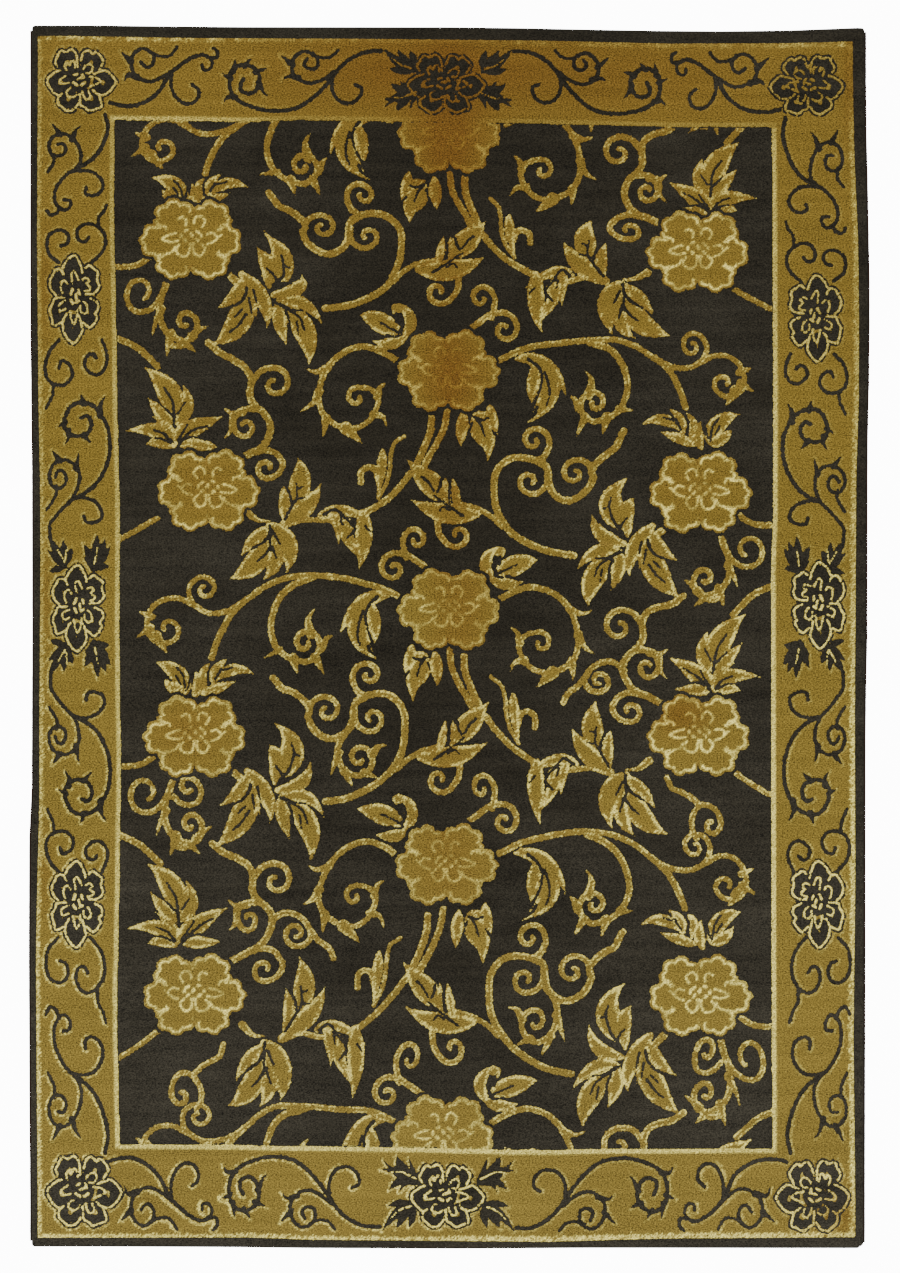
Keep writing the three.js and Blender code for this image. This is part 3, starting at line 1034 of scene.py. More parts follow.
@dataclass
class BorderChart:
    """The border's dark vines and flowers: one drawn quarter, set at all four corners.

    The quarter is drawn from the rug's bottom left corner. The upper half's vines are shorter,
    and upper_side and upper_end give how high each place of the quarter lies there. The field
    straight has the frame's left, right, bottom and top edges as they are without their strays.
    """

    left: float = -417.5
    right: float = 417.5
    bottom: float = -609.5
    top: float = 609.5
    upper_side: Course = Course((93, 309, 341, 371, 640), (1134, 980, 947, 910, 640))
    upper_end: Course = Course((17, 85, 97), (1202, 1144, 1134))
    straight: tuple[float, float, float, float] = (-410, 408.5, -600.5, 599.5)
    follow: float = 0.8
    flower: FlowerChart = field(default_factory=FlowerChart)

    def placed(self, path: np.ndarray, upper: bool, right: bool, side: bool) -> np.ndarray:
        """Returns a path of the drawn quarter where one corner has it.

        Args:
            path: The path, from the rug's bottom left corner.
            upper: Whether the corner is one of the top two.
            right: Whether it is one of the right two.
            side: Whether the path belongs to the long side, and not to the end.

        Returns:
            The path, in squares from the rug's middle.
        """
        x, y = path[:, 0].copy(), path[:, 1].copy()
        drawn_x, drawn_y = self.left + x, self.bottom + y
        if upper and side:
            y = self.upper_side.along(y)
        elif upper:
            y = self.upper_end.along(y)
        x = self.right - x - 0.5 if right else self.left + x
        y = self.bottom + y
        left, right_side, bottom, top = self.straight
        if side:
            stray = (FRAME.right, right_side) if right else (FRAME.left, left)
            x = x + self.stray(*stray, y) - self.stray(FRAME.left, left, drawn_y)
            if upper:
                return (UPPER_RIGHT_DRIFT if right else UPPER_LEFT_DRIFT).moved(x, y, y)
            return np.column_stack([x, y])
        if upper:
            y = y + self.stray(FRAME.top, top, x)
            return (TOP_RIGHT_DRIFT if right else TOP_LEFT_DRIFT).moved(x, y, x)
        if right:
            y = y + self.stray(FRAME.bottom, bottom, x) - self.stray(FRAME.bottom, bottom, drawn_x)
            return BOTTOM_RIGHT_DRIFT.moved(x, y, x)
        return np.column_stack([x, y])

    def stray(self, edge: Course, straight: float, place: np.ndarray) -> np.ndarray:
        """Returns how far the border's vines follow an edge from where it is straight."""
        return self.follow * (edge.along(place) - straight)

    def draw(self, cloth: Cloth, layers: Layers) -> None:
        """Draws the whole border.

        Args:
            cloth: The grid.
            layers: Where it is drawn.
        """
        for upper in (False, True):
            for right in (False, True):
                for side, lines in ((True, SIDE_BORDER_LINES), (False, END_BORDER_LINES)):
                    for line in lines:
                        path, half = path_of(line)
                        path = self.placed(path, upper, right, side)
                        if line.kind is Line.GAP:
                            cloth.stroke(layers.pale, path, half)
                        else:
                            cloth.stroke(layers.dark, path, half - 0.15)
        for x, y, half_width, half_height, lying, flip in BORDER_FLOWERS:
            self.flower.draw_border_flower(
                cloth, layers, (x, y), (half_width, half_height), lying, flip)


BORDER_FLOWERS = (
    (-367, 557.5, 35, 32.5, True, 1),
    (-2, 554, 39, 30.5, True, 1),
    (358, 552.5, 37, 30.5, True, -1),
    (-364, -553, 38, 37, True, 1),
    (-1, -558, 37, 33, True, 1),
    (364, -558, 37, 37, True, -1),
    (-373, 337, 26, 45, False, 1),
    (-369, 28, 27, 44, False, 1),
    (-370, -268, 27, 44, False, 1),
    (366, 318, 27, 44, False, -1),
    (369, 31, 27, 44, False, -1),
    (368, -268, 27, 44, False, -1),
)
"""Each border flower's middle, half width and half height, whether it lies, and its mirroring."""


@dataclass(frozen=True)
class Mound:
    """A soft-edged patch of the cloth, given from the rug's middle in squares."""

    x: float
    y: float
    half_width: float
    half_height: float
    strength: float

    def over(self, x: np.ndarray, y: np.ndarray) -> np.ndarray:
        """Returns the patch's strength at places on the cloth."""
        reach = ((x - self.x) / self.half_width) ** 2 + ((y - self.y) / self.half_height) ** 2
        return self.strength * np.exp(-reach)


RUST_PATCHES = (
    Mound(-20, 565, 150, 45, 0.55),
    Mound(200, 560, 120, 50, 0.25),
    Mound(0, 490, 45, 45, 0.5),
    Mound(5, 262, 45, 45, 0.45),
    Mound(20, 28, 26, 45, 0.3),
    Mound(-8, 30, 40, 30, -0.1),
    Mound(0, -225, 50, 40, 0.2),
    Mound(0, 150, 26, 470, 0.3),
    Mound(-260, -95, 35, 30, 0.35),
    Mound(232, -78, 30, 22, 0.6),
    Mound(-245, 150, 40, 34, 0.25),
    Mound(240, 150, 40, 30, 0.2),
    Mound(-403, 350, 7, 60, 0.3),
    Mound(-403, 40, 7, 42, 0.3),
    Mound(-403, -235, 8, 45, 0.3),
    Mound(404, 560, 10, 60, 0.4),
    Mound(385, -575, 30, 25, 0.6),
)
"""Where the golden wool has turned towards rust."""

PALE_PATCHES = (
    Mound(-80, -555, 420, 50, 0.35),
    Mound(300, -200, 200, 320, 0.2),
    Mound(-372, -400, 40, 220, 0.3),
    Mound(360, 553, 48, 40, -0.55),
    Mound(0, 555, 60, 40, -0.45),
    Mound(370, 320, 40, 60, -0.2),
)
"""Where the pale lines are brightest."""


RUST_RISE = Course((-600, -250, 150, 600), (0.0, 0.07, 0.2, 0.4))
"""How much of the gold is rust, from the bottom end up."""

RIM_LIGHT = Course((-600, 0, 200), (0.06, 0.02, -0.03))
# How much more of the golden rims is pale, as pale yarn and as painted highlight, from the bottom
# end up.
"""How much more of the golden rims is pale, from the bottom end up."""

PETAL_LIGHT = Course((60, 200), (0.8, 1.4))
"""How strong the petals' pale lines are, from the rug's middle out to its sides."""

BORDER_RIM = Course((-600, -150, 150, 600), (0.9, 0.72, 0.45, 0.4))
"""How strong the pale rims in the border are, from the bottom end up."""

INNER_GUARD_LEFT = Course((-600, -100, 400, 600), (0.76, 0.64, 0.46, 0.38))
INNER_GUARD_TOP = Course((-330, -215, -170, 330), (0.85, 0.75, 0.2, 0.25))
OUTER_GUARD_LEFT = Course((-600, -200, 200, 600), (0.8, 0.55, 0.35, 0.35))
OUTER_GUARD_RIGHT = Course((-600, -100, 100, 600), (0.7, 0.7, 0.45, 0.4))
OUTER_GUARD_TOP = Course((-408, -240, -190, 300, 360, 408), (0.95, 0.85, 0.3, 0.25, 0.7, 0.8))
"""How strong the pale guard lines are along each side."""


@dataclass
class Dyes:
    """How pale and how rusty the golden pile is, from place to place."""

    cloth: Cloth

    def rust(self) -> np.ndarray:
        """Returns 0 for clear gold up to 1 for rust, over the cloth."""
        total = sum(m.over(self.cloth.x, self.cloth.y) for m in RUST_PATCHES)
        total = total + RUST_RISE.along(self.cloth.y)
        return np.clip(total, 0.0, 1.0)

    def brightness(self) -> np.ndarray:
        """Returns how strong the pale lines are over the cloth."""
        total = sum(m.over(self.cloth.x, self.cloth.y) for m in PALE_PATCHES)
        return np.clip(0.78 + total - 0.5 * self.rust(), 0.0, 1.0)


@dataclass
class GoldenPile:
    """The golden design: pile that stands a little above the charcoal ground.

    Args:
        pitch: Distance between two knots, in squares.
    """

    pitch: float = 1.36
    crown: float = 0.0099
    foot: float = 0.0087
    knot_swell: float = 0.00012
    rim_drop: float = 0.00022
    edge_wander: float = 0.42
    rim_wander: float = 0.55
    guard_width: float = 4.6
    outer_guard_width: tuple[float, float] = (3.6, 5.0)
    flower_gap: float = 2.6
    thinner: float = 0.18
    rim_depth: float = 1.9
    leaf_rim_depth: float = 1.3
    inner_guard_right: float = 0.8
    inner_guard_bottom: float = 0.74
    outer_guard_bottom: float = 0.9

    def __post_init__(self) -> None:
        """Lays out the cloth that the design is drawn on."""
        self.cloth = Cloth(417.0, 609.0, self.pitch)
        self.dyes = Dyes(self.cloth)
        self.height, self.width = self.cloth.x.shape
        self.chance = np.random.default_rng(17)

    def draw(self) -> None:
        """Draws the whole chart and keeps its outline, its paleness and its parts."""
        field_layers = Layers.on(self.cloth)
        FieldChart().draw(self.cloth, field_layers)
        border_layers = Layers.on(self.cloth)
        BorderChart().draw(self.cloth, border_layers)
        outer = FRAME.distance(self.cloth.x, self.cloth.y)
        inner = self.past_field = FIELD.distance(self.cloth.x, self.cloth.y)
        stems = np.maximum(field_layers.gold, self.flower_gap - field_layers.flower)
        self.outline = np.minimum(stems + self.thinner, field_layers.flower + 0.3)
        stems = np.maximum(stems, -field_layers.dark)
        vines = np.minimum(stems + self.thinner, field_layers.flower + 0.3)
        vines = np.maximum(vines, inner + 0.2)
        ring = np.maximum(outer, -inner)
        band = np.maximum(ring, -border_layers.dark)
        band = np.minimum(band, np.maximum(border_layers.pale, ring))
        wander = self.chance.normal(0.0, self.edge_wander, self.cloth.x.shape)
        self.is_border = inner > -0.6
        self.edge = np.where(self.is_border, band, vines)
        self.pale = self.paleness(field_layers, border_layers, outer, inner)
        self.edge = self.edge + np.where(np.abs(outer) < 2.5, 0.4, 1.0) * wander
        # The rust layer holds the rust dye and the painted shade on the unlit rims.
        self.rust = np.clip(self.dyes.rust() + self.rim_shade, 0.0, 1.0)
        self.lift = self.chance.normal(0.0, self.knot_swell, self.cloth.x.shape)

    def patchy(self, knots: int) -> np.ndarray:
        """Returns chance values from 0 to 1 that change softly over some knots.

        Args:
            knots: How many knots lie between two free values.

        Returns:
            The values, over the cloth.
        """
        rows, columns = self.height // knots + 2, self.width // knots + 2
        free = self.chance.random((rows, columns))
        down, along = np.arange(self.height) / knots, np.arange(self.width) / knots
        tall = np.column_stack([np.interp(down, np.arange(rows), c) for c in free.T])
        return np.vstack([np.interp(along, np.arange(columns), r) for r in tall])

    def paleness(self, field_layers: Layers, border_layers: Layers, outer: np.ndarray,
                 inner: np.ndarray) -> np.ndarray:
        """Works out where the design is knotted in pale wool, and where the field's rims get a
        painted highlight.

        Args:
            field_layers: The field's drawn layers.
            border_layers: The border's drawn layers.
            outer: Distance from the golden frame's outer edge.
            inner: Distance from the field's edge.

        Returns:
            0 for gold up to 1 for pale, over the cloth.
        """
        x, y = self.cloth.x, self.cloth.y
        slope_y, slope_x = np.gradient(self.edge, self.pitch)
        length = np.hypot(slope_x, slope_y) + 1e-6
        up = slope_y / length
        away = slope_x / length * np.sign(x)
        ragged = self.edge + self.chance.normal(0.0, self.rim_wander, x.shape)
        leafy = smooth_step(0.8, -0.5, field_layers.leaf)
        ragged = np.where(self.is_border, ragged, ragged + self.outline - self.edge)
        deepest = -self.rim_depth - self.leaf_rim_depth * leafy
        rim = smooth_step(0.5, -0.5, np.maximum(deepest - ragged, ragged + 0.1))
        # Painted highlight: rim knots facing up and away from the middle are more often made pale,
        # as if lit there.
        facing = np.clip(0.25 + 0.85 * np.maximum(up, away), 0.0, 1.0)
        lit = 0.29 + 0.2 * facing + 0.08 * leafy + RIM_LIGHT.along(y)
        lit = 0.6 * self.patchy(5) + 0.4 * self.chance.random(x.shape) < lit
        worn = self.chance.normal(0.95, 0.36, x.shape)
        # Painted shade: the field's rim knots that are not lit are turned darker, towards rust.
        self.rim_shade = np.where(self.is_border | lit, 0.0, 0.3) * rim
        field_pale = self.field_paleness(field_layers, rim, lit, worn)
        inward = np.clip(np.maximum(-away, -0.6 * up * np.sign(y)), 0.0, 1.0)
        line = BORDER_RIM.along(y) * np.where(x > 0, 0.45, 1.0)
        border_pale = line * rim * np.clip(1.25 * inward - 0.1, 0.0, 1.0) * worn
        drawn = smooth_step(0.8, -0.4, border_layers.pale) * (0.4 + 0.6 * worn)
        border_pale = np.maximum(border_pale, drawn)
        border_pale = np.maximum(border_pale, self.inner_guard(inner, worn))
        border_pale = np.maximum(border_pale, self.outer_guard(outer, worn))
        pale = np.where(self.is_border, border_pale, field_pale)
        return np.clip(pale * self.dyes.brightness(), 0.0, 1.0)

    def field_paleness(self, layers: Layers, rim: np.ndarray, lit: np.ndarray,
                       worn: np.ndarray) -> np.ndarray:
        """Works out where the field's vines, leaves and petals are pale, with a painted highlight
        on their lit rims.

        Args:
            layers: The field's drawn layers.
            rim: Where the golden pile's rims are.
            lit: Which knots of the rims are pale: partly pale yarn, partly painted highlight.
            worn: How worn each knot is.

        Returns:
            0 for gold up to 1 for pale, over the cloth.
        """
        x, y = self.cloth.x, self.cloth.y
        petals = smooth_step(0.8, -0.8, layers.flower)
        # The lit rim knots are painted pale as a highlight, on top of the pale yarn outline.
        pale = rim * np.where(lit, 0.95, 0.12) * (1.0 - 0.6 * petals)
        faded = 0.75 + 0.45 * np.sin(x * 0.11 + 2.0 * np.sin(y * 0.05)) * np.sin(y * 0.13 + 0.7)
        petal_line = smooth_step(0.5, -0.7, layers.pale) * faded * PETAL_LIGHT.along(np.abs(x))
        return np.maximum(pale, petal_line * worn)

    def inner_guard(self, inner: np.ndarray, worn: np.ndarray) -> np.ndarray:
        """Works out the pale line between the border and the field.

        Args:
            inner: Distance from the field's edge.
            worn: How worn each knot is.

        Returns:
            How pale the line is, over the cloth.
        """
        x, y = self.cloth.x, self.cloth.y
        line = smooth_step(self.guard_width + 0.8, self.guard_width - 0.8, inner)
        side = np.where(x > 0, self.inner_guard_right, INNER_GUARD_LEFT.along(y))
        end = np.where(y < 0, self.inner_guard_bottom, INNER_GUARD_TOP.along(x))
        line = line * np.where(FIELD.past_end(x, y) > -1, end, side)
        return line * (0.25 + 0.75 * worn)

    def outer_guard(self, outer: np.ndarray, worn: np.ndarray) -> np.ndarray:
        """Works out the pale, flecked line round the outside of the border.

        Args:
            outer: Distance from the golden frame's outer edge.
            worn: How worn each knot is.

        Returns:
            How pale the line is, over the cloth.
        """
        x, y = self.cloth.x, self.cloth.y
        ragged = -outer + self.chance.normal(0.0, 0.9, x.shape)
        width = np.where(x > 0, self.outer_guard_width[1], self.outer_guard_width[0])
        line = smooth_step(0.8, -0.8, ragged - width)
        side = np.where(x > 0, OUTER_GUARD_RIGHT.along(y), OUTER_GUARD_LEFT.along(y))
        end = np.where(y < 0, self.outer_guard_bottom, OUTER_GUARD_TOP.along(x))
        at_end = FRAME.past_end(x, y) > -self.guard_width - 1
        flecks = np.clip(2.2 * self.patchy(4) - 0.35, 0.0, 1.3)
        end = end * np.where(y < 0, 1.0, flecks)
        return line * np.where(at_end, end, side) * (2.0 * worn - 0.95)

    def stretches(self) -> dict[str, np.ndarray]:
        """Returns which cells of the cloth belong to each piece of the golden pile."""
        x, y = self.cloth.x[:-1, :-1], self.cloth.y[:-1, :-1]
        inside = self.past_field[:-1, :-1] < 2
        past_end = FIELD.past_end(x, y) >= 2
        upper, lower = past_end & (y > 0), past_end & (y < 0)
        beside = ~inside & ~past_end
        return {
            "border_top": upper,
            "border_bottom": lower,
            "border_left": beside & (x < 0),
            "border_right": beside & (x >= 0),
            "field_upper_left": inside & (y >= 0) & (x < 0),
            "field_upper_right": inside & (y >= 0) & (x >= 0),
            "field_lower_left": inside & (y < 0) & (x < 0),
            "field_lower_right": inside & (y < 0) & (x >= 0),
        }

    def build(self) -> list[bpy.types.Object]:
        """Builds every piece of the golden pile."""
        self.draw()
        return [PileCutter(self, cells).mesh_object(name)
                for name, cells in self.stretches().items()]


EDGE_OF_CASE: dict[int, tuple[tuple[int, ...], ...]] = {
    1: ((0, 4, 7),), 2: ((1, 5, 4),), 3: ((0, 1, 5, 7),), 4: ((2, 6, 5),),
    5: ((0, 4, 7), (2, 6, 5)), 6: ((1, 2, 6, 4),), 7: ((0, 1, 2, 6, 7),), 8: ((3, 7, 6),),
    9: ((0, 4, 6, 3),), 10: ((1, 5, 4), (3, 7, 6)), 11: ((0, 1, 5, 6, 3),),
    12: ((2, 3, 7, 5),), 13: ((0, 4, 5, 2, 3),), 14: ((1, 2, 3, 7, 4),), 15: ((0, 1, 2, 3),),
}
"""Which corners (0 to 3) and crossed sides (4 to 7) bound the pile in a cell, for each of its
cases. A case counts 1, 2, 4 and 8 for the corners that the pile covers, anticlockwise."""


class PileCutter:
    """Cuts the pile's outline through the cells of the cloth and raises it.

    Args:
        pile: The drawn golden pile.
        cells: Which cells are cut.
    """

    def __init__(self, pile: GoldenPile, cells: np.ndarray) -> None:
        """Keeps the pile and counts its corners."""
        self.pile = pile
        self.cells = cells
        self.inside = pile.edge < 0.0
        self.columns = pile.width
        self.rows = pile.height
        self.corner_count = self.columns * self.rows

    def node_values(self, values: np.ndarray) -> np.ndarray:
        """Works out a layer's values at the corners, and where the outline crosses each side.

        Args:
            values: The layer.

        Returns:
            The values at all corners, then on all sides along X, then on all sides along Y.
        """
        edge = self.pile.edge
        share_x = edge[:, :-1] / (edge[:, :-1] - edge[:, 1:] + 1e-12)
        share_y = edge[:-1, :] / (edge[:-1, :] - edge[1:, :] + 1e-12)
        share_x = np.clip(share_x, 0.02, 0.98)
        share_y = np.clip(share_y, 0.02, 0.98)
        along_x = values[:, :-1] * (1 - share_x) + values[:, 1:] * share_x
        along_y = values[:-1, :] * (1 - share_y) + values[1:, :] * share_y
        across = np.zeros(self.corner_count)
        upright = np.zeros(self.corner_count)
        across.reshape(self.rows, self.columns)[:, :-1] = along_x
        upright.reshape(self.rows, self.columns)[:-1, :] = along_y
        return np.concatenate([values.ravel(), across, upright])

    def cell_nodes(self, row: np.ndarray, column: np.ndarray) -> np.ndarray:
        """Numbers the eight nodes of each cell.

        Args:
            row: The cells' rows.
            column: Their columns.

        Returns:
            The numbers of each cell's corners, then of its sides.
        """
        here = row * self.columns + column
        count = self.corner_count
        return np.stack([
            here, here + 1, here + self.columns + 1, here + self.columns,
            count + here, 2 * count + here + 1, count + here + self.columns, 2 * count + here,
        ], axis=1)

    def faces(self) -> tuple[list[np.ndarray], np.ndarray]:
        """Returns the top's faces, grouped by their number of corners, and the wall's sides."""
        inside = self.inside
        case = (inside[:-1, :-1] * 1 + inside[:-1, 1:] * 2 + inside[1:, 1:] * 4
                + inside[1:, :-1] * 8)
        case = np.where(self.cells, case, 0)
        tops: list[np.ndarray] = []
        walls: list[np.ndarray] = []
        for number, outlines in EDGE_OF_CASE.items():
            row, column = np.nonzero(case == number)
            if not len(row):
                continue
            nodes = self.cell_nodes(row, column)
            for outline in outlines:
                tops.append(nodes[:, outline])
                for start, end in zip(outline, outline[1:] + outline[:1]):
                    if start >= 4 and end >= 4:
                        walls.append(nodes[:, (start, end)])
        return tops, np.vstack(walls)

    def mesh_object(self, name: str) -> bpy.types.Object:
        """Builds the piece's mesh: its top, and a wall down into the ground cloth.

        Args:
            name: The piece's name.

        Returns:
            The piece.
        """
        pile = self.pile
        tops, walls = self.faces()
        x = self.node_values(pile.cloth.x)
        y = self.node_values(pile.cloth.y)
        z = self.node_values(pile.crown + pile.lift)
        z[self.corner_count:] -= pile.rim_drop
        used = np.unique(np.concatenate([t.ravel() for t in tops]))
        renumber = np.full(len(x), -1, np.int64)
        renumber[used] = np.arange(len(used))
        wall_nodes = np.unique(walls)
        low = np.full(len(x), -1, np.int64)
        low[wall_nodes] = len(used) + np.arange(len(wall_nodes))
        both = np.concatenate([used, wall_nodes])
        place = np.column_stack([x[both] * SQUARE, y[both] * SQUARE, z[both]])
        place[len(used):, 2] = pile.foot
        groups = [renumber[t] for t in tops]
        start, end = walls[:, 0], walls[:, 1]
        groups.append(np.column_stack([low[start], low[end], renumber[end], renumber[start]]))
        mesh = mesh_from(name, place, groups)
        # The pale layer also holds the painted highlight on lit rims, and the rust layer the
        # painted shade on unlit rims.
        for layer, values in (("pale", pile.pale), ("rust", pile.rust)):
            numbers = self.node_values(values)[both]
            attribute = mesh.attributes.new(layer, "FLOAT", "POINT")
            attribute.data.foreach_set("value", numbers.astype(np.float32))
        lay_flat_map(mesh, place)
        return piece_from(mesh)


def mesh_from(name: str, place: np.ndarray, groups: list[np.ndarray]) -> bpy.types.Mesh:
    """Makes a mesh out of arrays.

    Args:
        name: The mesh's name.
        place: The vertices, in metres.
        groups: Arrays of faces; the faces of one array have the same number of corners.

    Returns:
        The mesh.
    """
    mesh = bpy.data.meshes.new(name)
    loops = np.concatenate([g.ravel() for g in groups]).astype(np.int32)
    sizes = np.concatenate([np.full(len(g), g.shape[1]) for g in groups])
    starts = np.concatenate([[0], np.cumsum(sizes)[:-1]]).astype(np.int32)
    mesh.vertices.add(len(place))
    mesh.vertices.foreach_set("co", place.astype(np.float32).ravel())
    mesh.loops.add(len(loops))
    mesh.loops.foreach_set("vertex_index", loops)
    mesh.polygons.add(len(starts))
    mesh.polygons.foreach_set("loop_start", starts)
    mesh.update(calc_edges=True)
    return mesh


def piece_from(mesh: bpy.types.Mesh) -> bpy.types.Object:
    """Returns a piece of the rug made of a mesh, under the mesh's own name."""
    piece = bpy.data.objects.new(mesh.name, mesh)
    bpy.context.scene.collection.objects.link(piece)
    return piece


def lay_flat_map(mesh: bpy.types.Mesh, place: np.ndarray) -> None:
    """Gives a mesh the map that a cloth lying flat has, seen from above.

    Args:
        mesh: The mesh.
        place: Its vertices, in metres.
    """
    low, high = place[:, :2].min(0), place[:, :2].max(0)
    share = 0.004 + 0.992 * (place[:, :2] - low) / (high - low)
    corners = np.empty(len(mesh.loops), np.int32)
    mesh.loops.foreach_get("vertex_index", corners)
    layer = mesh.uv_layers.new(name="OFBake")
    layer.data.foreach_set("uv", share[corners].astype(np.float32).ravel())


class RugEdge:
    """The rug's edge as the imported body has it, and how far its wool stands out past that.

    Args:
        node: The body's node.
    """

    LEFT_WOOL = 0.0026
    RIGHT_WOOL = 0.0058
    BOTTOM_WOOL = 0.0042
    TOP_WOOL = 0.0018

    WALL_HEIGHT = 0.0065
    WALL_SLACK = 0.0004
    CORNER_LENGTH = 0.0125
    CORNER_WIDTH = 0.0102
    SIDE_DEPTH = 0.02

    def __init__(self, node: bpy.types.Object) -> None:
        """Reads the four edges off the wall of the body."""
        place = np.array([v.co for v in node.data.vertices], float)
        wall = place[np.abs(place[:, 2] - self.WALL_HEIGHT) < self.WALL_SLACK]
        half_width = np.abs(wall[:, 0]).max()
        half_length = np.abs(wall[:, 1]).max()
        straight = np.abs(wall[:, 1]) < half_length - self.CORNER_LENGTH
        self.left = self.chain(wall[straight & (wall[:, 0] < self.SIDE_DEPTH - half_width)], 1)
        self.right = self.chain(wall[straight & (wall[:, 0] > half_width - self.SIDE_DEPTH)], 1)
        inner = np.abs(wall[:, 0]) < half_width - self.CORNER_WIDTH
        self.bottom = self.chain(wall[inner & (wall[:, 1] < 0)], 0)
        self.top = self.chain(wall[inner & (wall[:, 1] > 0)], 0)
        self.left[:, 1] -= self.LEFT_WOOL
        self.right[:, 1] += self.RIGHT_WOOL
        self.bottom[:, 1] -= self.BOTTOM_WOOL
        self.top[:, 1] += self.TOP_WOOL

    @staticmethod
    def chain(points: np.ndarray, along: int) -> np.ndarray:
        """Returns the places along one side, in order, with the edge's place at each."""
        order = points[np.argsort(points[:, along])]
        return np.column_stack([order[:, along], order[:, 1 - along]])

    def side_x(self, side: np.ndarray, y: np.ndarray) -> np.ndarray:
        """Returns the X of a long side at places along Y."""
        return np.interp(y, side[:, 0], side[:, 1])

    def end_y(self, end: np.ndarray, x: np.ndarray) -> np.ndarray:
        """Returns the Y of a short end at places along X."""
        return np.interp(x, end[:, 0], end[:, 1])


@dataclass
class GroundCloth:
    """The rug's body: charcoal pile above, the flat woven back below."""

    edge: RugEdge
    pile_top: float = 0.0092
    wall_top: float = 0.0062
    wall_foot: float = 0.0012
    rim_round: float = 0.0045
    corner_radius: float = 0.007
    cell: float = 0.016
    ripple: float = 0.00018
    half_width: float = 0.8506
    half_length: float = 1.2440
    foot_drawn_in: float = 0.0009 / 0.85

    def stations(self, low: float, high: float) -> np.ndarray:
        """Spaces places from one edge to the other, closest at the rims.

        Args:
            low: The first edge.
            high: The other.

        Returns:
            The places.
        """
        rim = np.array([0, 0.0009, 0.002, 0.0032, 0.0045, 0.007, 0.0105, 0.0145, 0.022])
        count = int((high - low - 2 * rim[-1]) / self.cell)
        middle = np.linspace(low + rim[-1], high - rim[-1], count + 1)
        return np.concatenate([low + rim[:-1], middle, (high - rim[:-1])[::-1]])

    def rounded(self, from_x: np.ndarray, from_y: np.ndarray) -> np.ndarray:
        """Works out how much of a corner's cell is kept, so that the corner is round.

        Args:
            from_x: Distance from the nearer long side.
            from_y: Distance from the nearer short end.

        Returns:
            The share that is kept, 1 away from the corners.
        """
        radius = self.corner_radius
        in_x = np.clip(radius - from_x, 0, None)
        in_y = np.clip(radius - from_y, 0, None)
        reach = np.hypot(in_x, in_y)
        widest = np.maximum(in_x, in_y)
        return np.where(reach > 0, widest / np.where(reach > 0, reach, 1.0), 1.0)

    def sheet(self) -> tuple[np.ndarray, np.ndarray, np.ndarray]:
        """Returns the sheet's X and Y, and the distance from its rim, as grids."""
        us = self.stations(-self.half_width, self.half_width)
        vs = self.stations(-self.half_length, self.half_length)
        share_u = (us - us[0]) / (us[-1] - us[0])
        share_v = (vs - vs[0]) / (vs[-1] - vs[0])
        left = self.edge.side_x(self.edge.left, vs)[:, None]
        right = self.edge.side_x(self.edge.right, vs)[:, None]
        x = left + (right - left) * share_u[None, :]
        bottom = self.edge.end_y(self.edge.bottom, x)
        top = self.edge.end_y(self.edge.top, x)
        y = bottom + (top - bottom) * share_v[:, None]
        from_x = np.minimum(x - left, right - x)
        from_y = np.minimum(y - bottom, top - y)
        keep = self.rounded(from_x, from_y)
        radius = self.corner_radius
        pull_x = np.clip(radius - from_x, 0, None) * (1 - keep)
        pull_y = np.clip(radius - from_y, 0, None) * (1 - keep)
        corner = (from_x < radius) & (from_y < radius)
        x = x + np.where(corner, np.where(x < 0, pull_x, -pull_x), 0)
        y = y + np.where(corner, np.where(y < 0, pull_y, -pull_y), 0)
        return x, y, np.minimum(from_x, from_y)

    def build(self) -> bpy.types.Object:
        """Builds the closed cloth."""
        x, y, inwards = self.sheet()
        rows, columns = x.shape
        rise = 1 - (1 - np.clip(inwards / self.rim_round, 0, 1)) ** 2
        height = self.wall_top + (self.pile_top - self.wall_top) * rise
        height = height + self.ripple * smooth_step(0.01, 0.05, inwards) * (
            np.sin(x * 13.0 + np.sin(y * 4.1)) * np.cos(y * 9.0 + 0.6))
        top = np.column_stack([x.ravel(), y.ravel(), height.ravel()])
        shrink = 1 - self.foot_drawn_in
        under = np.column_stack([x.ravel() * shrink, y.ravel() * shrink, np.zeros(x.size)])
        number = np.arange(rows * columns).reshape(rows, columns)
        cells = np.stack([number[:-1, :-1], number[:-1, 1:], number[1:, 1:], number[1:, :-1]],
                         axis=-1).reshape(-1, 4)
        rim = np.concatenate([number[0, :-1], number[:-1, -1], number[-1, :0:-1],
                              number[:0:-1, 0]])
        foot = top[rim].copy()
        foot[:, 2] = self.wall_foot
        place = np.vstack([top, under, foot])
        below = rows * columns
        foot_at = 2 * below + np.arange(len(rim))
        after = np.roll(np.arange(len(rim)), -1)
        walls = [
            np.column_stack([foot_at, foot_at[after], rim[after], rim]),
            np.column_stack([rim + below, rim[after] + below, foot_at[after], foot_at]),
        ]
        mesh = mesh_from("ground_cloth", place, [cells, cells[:, ::-1] + below, *walls])
        mesh.polygons.foreach_set("use_smooth", np.ones(len(mesh.polygons), bool))
        lay_two_maps(mesh, len(cells))
        return piece_from(mesh)


FACE_MAP_SIDE = 2.56
"""The length of cloth that fills the map of the ground cloth's face, in metres."""

BACK_STRIP_AT = 0.92
BACK_STRIP_SCALE = 0.06
"""Where the back's strip lies on that map, and how much of it a metre takes there."""


